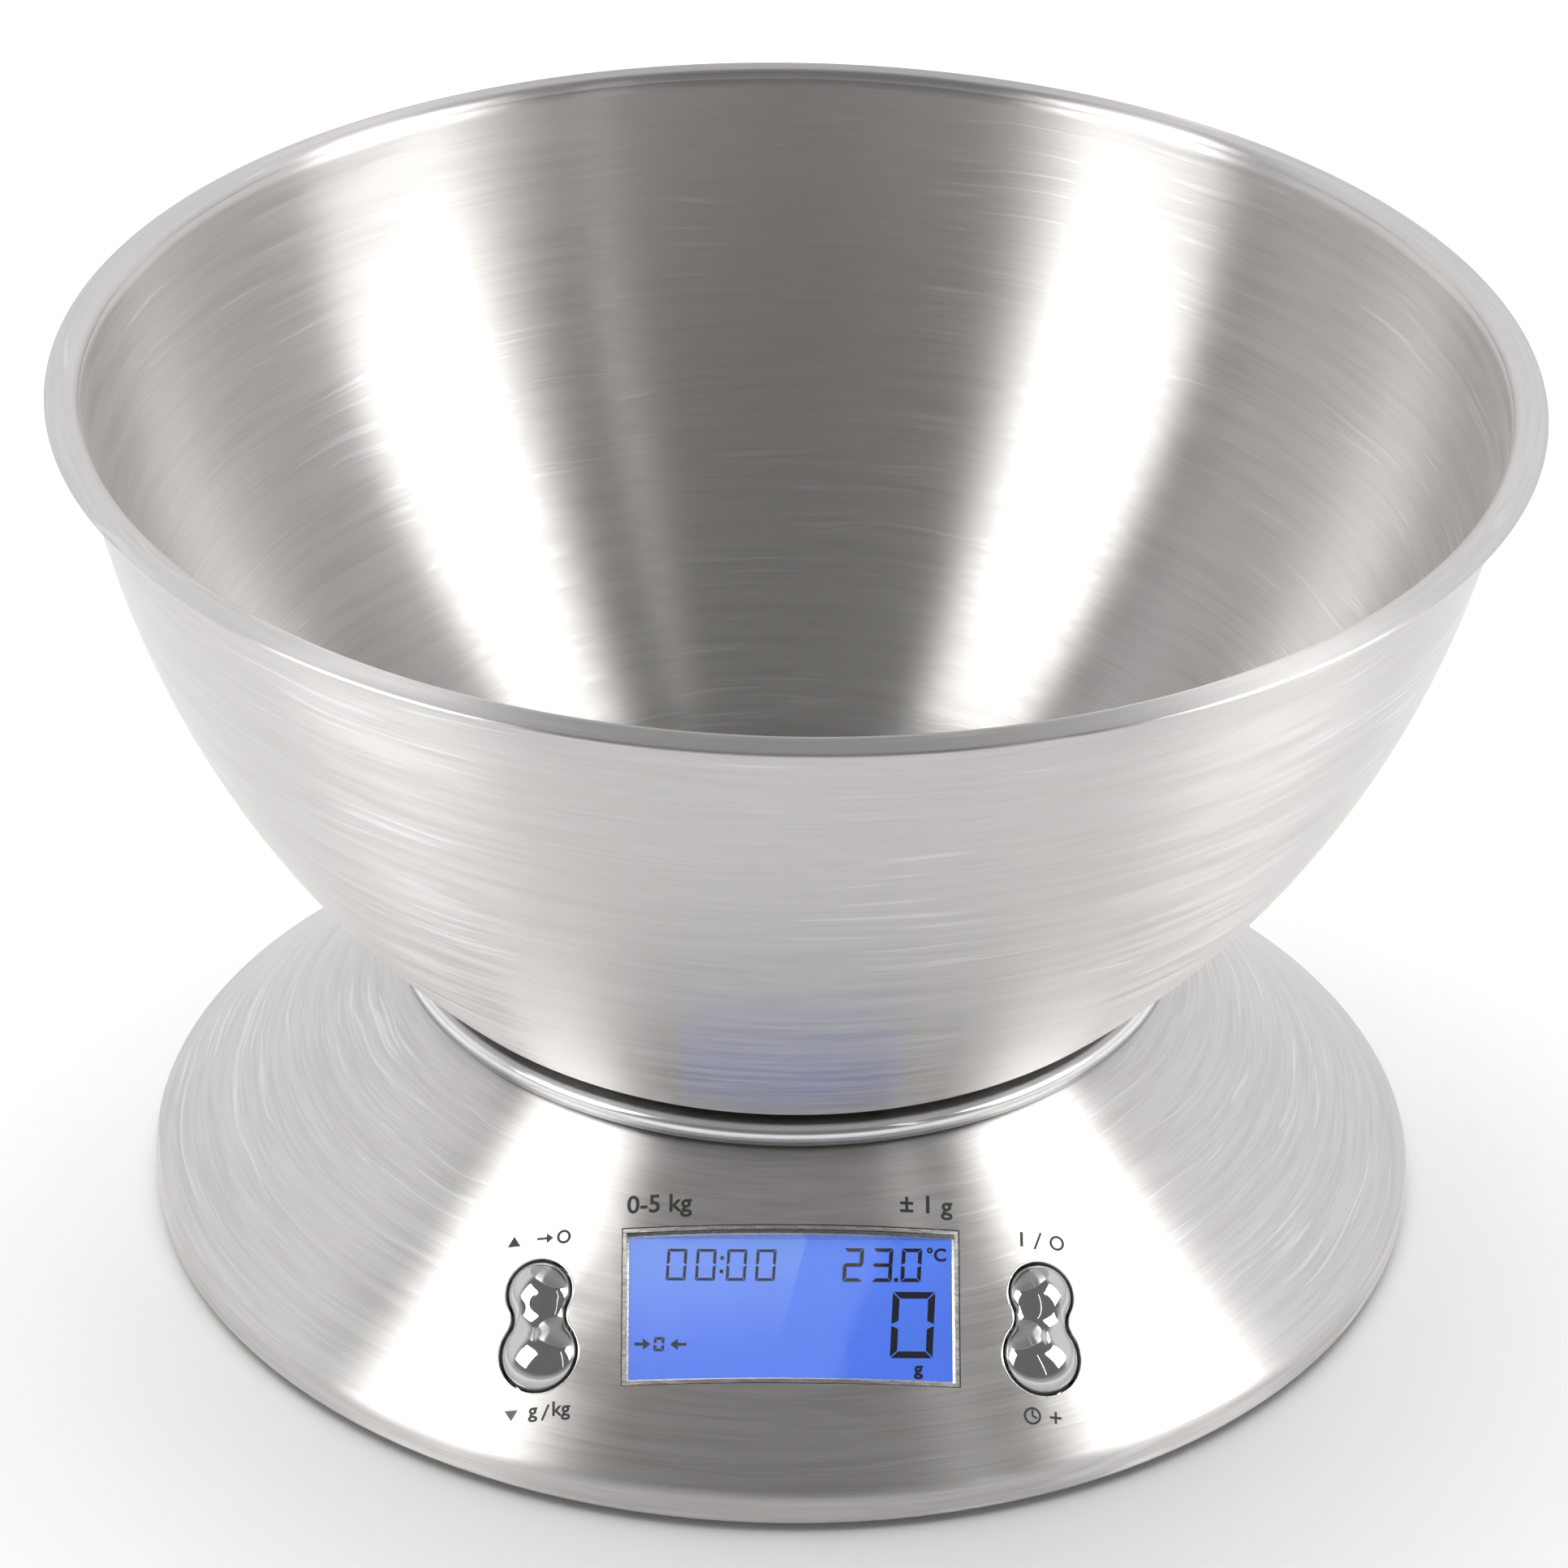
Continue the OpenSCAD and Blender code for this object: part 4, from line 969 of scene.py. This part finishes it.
# %% Group: an uneven skin
uneven_skin, came_in, goes_out = new_group(
    "uneven_skin",
    [("Grain_Scale", "Float", 900.0), ("Cloud_Scale", "Float", 60.0), ("Stretch", "Float", 1.0)],
    [("Clouds", "Float"), ("Grain", "Float"), ("Height", "Float")],
)
tree = uneven_skin
here = put(tree, "SeparateXYZ", {0: on_object(tree)})
drawn_out = put(tree, "CombineXYZ", {0: calc(tree, "DIVIDE", here.outputs[0], came_in.outputs["Stretch"]),
                                     1: here.outputs[1], 2: here.outputs[2]}).outputs[0]
clouds = put(tree, "TexNoise", {"Vector": drawn_out, "Scale": came_in.outputs["Cloud_Scale"], "Detail": 3.0})
grain = put(tree, "TexNoise", {"Vector": drawn_out, "Scale": came_in.outputs["Grain_Scale"], "Detail": 4.0})
both = calc(tree, "ADD", calc(tree, "MULTIPLY", clouds.outputs["Fac"], 0.4), grain.outputs["Fac"])
for label, value in (("Clouds", clouds.outputs["Fac"]), ("Grain", grain.outputs["Fac"]), ("Height", both)):
    tree.links.new(value, goes_out.inputs[label])


# %% One function for the plain finishes
UM = 0.000001


def plain_finish(name, dark, light, rough, depth, grain=900.0, cloud=60.0, stretch=1.0, metal=0.0):
    """A finish between two colours, with its roughness and relief from the uneven skin."""
    material, tree, shader = new_material(name, Metallic=metal)
    skin = use_group(tree, uneven_skin, {"Grain_Scale": grain, "Cloud_Scale": cloud, "Stretch": stretch})
    mixed = calc(tree, "ADD", calc(tree, "MULTIPLY", skin.outputs["Clouds"], 0.5),
                 calc(tree, "MULTIPLY", skin.outputs["Grain"], 0.5))
    feed(shader, Base_Color=blend_colour(tree, remap(tree, mixed, 0.38, 0.62), (*dark, 1), (*light, 1)),
         Roughness=spread(tree, skin.outputs["Grain"], *rough))
    relief(tree, shader, skin.outputs["Height"], depth)
    return material


def finish_all(looks):
    """Makes each plain finish in a list of (name, parts, look) and gives it to its parts."""
    for name, parts, look in looks:
        paint_nodes(parts, plain_finish(name, **look))


plungers = [n for n in sorted(nodes) if "_plunger_" in n]
screws = [n for n in sorted(nodes) if n.endswith("_screws")]
print("plungers:", len(plungers), "sets of screws:", len(screws))

# %% Plastics, rubber and ceramics
finish_all([
    ("spark_textured_plastic", ["upper_housing", "bottom_tray", "battery_door"],
     dict(dark=(0.54, 0.54, 0.53), light=(0.59, 0.59, 0.58), rough=(0.45, 0.62), depth=20 * UM,
          grain=1100, cloud=220)),
    ("frame_plastic", ["platform_frame"],
     dict(dark=(0.055, 0.055, 0.058), light=(0.085, 0.085, 0.088), rough=(0.4, 0.55), depth=30 * UM)),
    ("foot_rubber", ["rubber_feet"],
     dict(dark=(0.1, 0.1, 0.105), light=(0.17, 0.17, 0.175), rough=(0.7, 0.88), depth=40 * UM, grain=1400)),
    ("striped_rubber", ["lcd_connector"],
     dict(dark=(0.02, 0.02, 0.02), light=(0.62, 0.6, 0.58), rough=(0.6, 0.8), depth=10 * UM,
          grain=5200, cloud=3800, stretch=0.1)),
    ("diffuser_white", ["lcd_backlight"],
     dict(dark=(0.76, 0.78, 0.8), light=(0.88, 0.89, 0.9), rough=(0.28, 0.4), depth=10 * UM, grain=500)),
    ("epoxy_black", ["controller_chip"],
     dict(dark=(0.01, 0.01, 0.01), light=(0.03, 0.03, 0.032), rough=(0.16, 0.34), depth=50 * UM, grain=260)),
    ("buzzer_black", ["buzzer"],
     dict(dark=(0.015, 0.015, 0.016), light=(0.04, 0.04, 0.042), rough=(0.35, 0.5), depth=20 * UM,
          grain=700)),
    ("bead_orange", ["temperature_sensor"],
     dict(dark=(0.62, 0.2, 0.03), light=(0.8, 0.32, 0.06), rough=(0.2, 0.34), depth=20 * UM,
          grain=800, cloud=300)),
    ("ceramic_tan", ["board_components"],
     dict(dark=(0.42, 0.3, 0.17), light=(0.66, 0.52, 0.36), rough=(0.35, 0.55), depth=20 * UM,
          grain=1500, cloud=420)),
    ("switch_body", ["tact_switches"],
     dict(dark=(0.03, 0.03, 0.032), light=(0.075, 0.075, 0.078), rough=(0.42, 0.58), depth=20 * UM)),
    ("plunger_black", plungers,
     dict(dark=(0.012, 0.012, 0.013), light=(0.045, 0.045, 0.047), rough=(0.3, 0.48), depth=10 * UM,
          grain=1600)),
    ("silicone_white", ["gauge_sealant"],
     dict(dark=(0.72, 0.71, 0.68), light=(0.86, 0.85, 0.82), rough=(0.3, 0.46), depth=60 * UM,
          grain=300, cloud=90.0)),
])

# %% Metals
finish_all([
    ("bezel_silver", ["display_bezel"],
     dict(dark=(0.58, 0.58, 0.57), light=(0.7, 0.7, 0.68), rough=(0.22, 0.3), depth=0.4 * UM,
          grain=2400, cloud=240, stretch=9.0, metal=1.0)),
    ("screw_steel", screws,
     dict(dark=(0.42, 0.42, 0.44), light=(0.68, 0.68, 0.7), rough=(0.2, 0.36), depth=10 * UM,
          grain=2600, cloud=300, metal=1.0)),
    ("milled_aluminium", ["load_cell"],
     dict(dark=(0.58, 0.59, 0.6), light=(0.8, 0.81, 0.82), rough=(0.28, 0.42), depth=10 * UM,
          grain=2200, cloud=160, stretch=14.0, metal=1.0)),
    ("ground_steel", ["load_cell_spacer", "platform_spacer"],
     dict(dark=(0.4, 0.4, 0.4), light=(0.58, 0.58, 0.58), rough=(0.26, 0.4), depth=10 * UM,
          grain=2200, cloud=200, stretch=6.0, metal=1.0)),
    ("nickel_plate", ["battery_springs", "battery_contacts"],
     dict(dark=(0.52, 0.5, 0.46), light=(0.76, 0.74, 0.7), rough=(0.14, 0.3), depth=6 * UM,
          grain=1900, cloud=260, metal=1.0)),
])

# %% Wires
WIRE = dict(rough=(0.32, 0.5), depth=10 * UM, grain=1500, cloud=220)
finish_all([(name + "_jacket", [name], dict(dark=dark, light=light, **WIRE)) for name, dark, light in (
    ("load_cell_lead", (0.62, 0.61, 0.58), (0.8, 0.79, 0.76)),
    ("battery_lead_plus", (0.4, 0.015, 0.012), (0.58, 0.03, 0.022)),
    ("battery_lead_minus", (0.01, 0.01, 0.01), (0.03, 0.03, 0.03)),
    ("key_leads", (0.58, 0.57, 0.54), (0.76, 0.75, 0.72)),
)])

# %% [markdown]
# ## Boards, gauges and cells
# These three carry a pattern as well as a skin. The boards have copper tracks under green lacquer, the
# gauges have a fine foil grid on amber film, and the cells have a printed jacket with bare metal ends. Each
# pattern is worked out from object coordinates, so it stays put however the piece is seen.

# %% Circuit boards
COPPER_UNDER, PAD_TIN = (0.060, 0.300, 0.110, 1), (0.70, 0.66, 0.52, 1)
lacquer, tree, shader = new_material("green_lacquer")
skin = use_group(tree, uneven_skin, {"Grain_Scale": 1300.0, "Cloud_Scale": 90.0})
here = on_object(tree)
tracks = put(tree, "TexBrick", {"Vector": here, "Scale": 210.0, "Mortar Size": 0.05, "Brick Width": 1.3,
                                "Row Height": 0.42})
pads = put(tree, "TexVoronoi", {"Vector": here, "Scale": 420.0})
board = blend_colour(tree, skin.outputs["Clouds"], (0.010, 0.120, 0.045, 1), (0.018, 0.180, 0.065, 1))
board = blend_colour(tree, tracks.outputs["Fac"], board, COPPER_UNDER)
board = blend_colour(tree, remap(tree, pads.outputs["Distance"], 0.10, 0.13, 1.0, 0.0), board, PAD_TIN)
feed(shader, Base_Color=board, Roughness=spread(tree, skin.outputs["Grain"], 0.26, 0.40))
relief(tree, shader, tracks.outputs["Fac"], 30 * UM)
paint_nodes(["main_board", "key_boards"], lacquer)

# %% Strain gauges
FOIL = (0.44, 0.40, 0.34, 1)
gauge, tree, shader = new_material("amber_film")
skin = use_group(tree, uneven_skin, {"Grain_Scale": 1800.0, "Cloud_Scale": 300.0})
stripes = put(tree, "TexWave", {"Vector": on_object(tree), "Scale": 700.0, "Distortion": 0.0},
              bands_direction="Y")
amber = blend_colour(tree, skin.outputs["Clouds"], (0.50, 0.24, 0.05, 1), (0.66, 0.36, 0.10, 1))
grid = remap(tree, stripes.outputs["Fac"], 0.45, 0.55, 0.0, 0.8)
feed(shader, Base_Color=blend_colour(tree, grid, amber, FOIL),
     Roughness=spread(tree, skin.outputs["Grain"], 0.20, 0.35))
paint_nodes(["strain_gauges"], gauge)

# %% Batteries
cell_low, cell_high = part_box("batteries")
CELL_MIDDLE, CELL_HALF = (cell_low.x + cell_high.x) / 2, (cell_high.x - cell_low.x) / 2
CELL_END, CELL_BAND = 2.2 * MM, 11.0 * MM  # bare metal, and pale band, measured from each end
SOFT_EDGE = 0.2 * MM
PALE_BAND, BARE_METAL = (0.62, 0.64, 0.62, 1), (0.66, 0.65, 0.62, 1)
jacket, tree, shader = new_material("battery_jacket")
skin = use_group(tree, uneven_skin, {"Grain_Scale": 1500.0, "Cloud_Scale": 130.0})
spot = put(tree, "SeparateXYZ", {0: on_object(tree)})
from_middle = calc(tree, "ABSOLUTE", calc(tree, "SUBTRACT", spot.outputs["X"], CELL_MIDDLE))
bare = remap(tree, from_middle, CELL_HALF - CELL_END, CELL_HALF - CELL_END + SOFT_EDGE)
band = remap(tree, from_middle, CELL_HALF - CELL_BAND, CELL_HALF - CELL_BAND + SOFT_EDGE)
wrap = blend_colour(tree, skin.outputs["Clouds"], (0.020, 0.130, 0.085, 1), (0.035, 0.190, 0.120, 1))
wrap = blend_colour(tree, band, wrap, PALE_BAND)
feed(shader, Base_Color=blend_colour(tree, bare, wrap, BARE_METAL), Metallic=bare,
     Roughness=spread(tree, skin.outputs["Grain"], 0.22, 0.34))
paint_nodes(["batteries"], jacket)
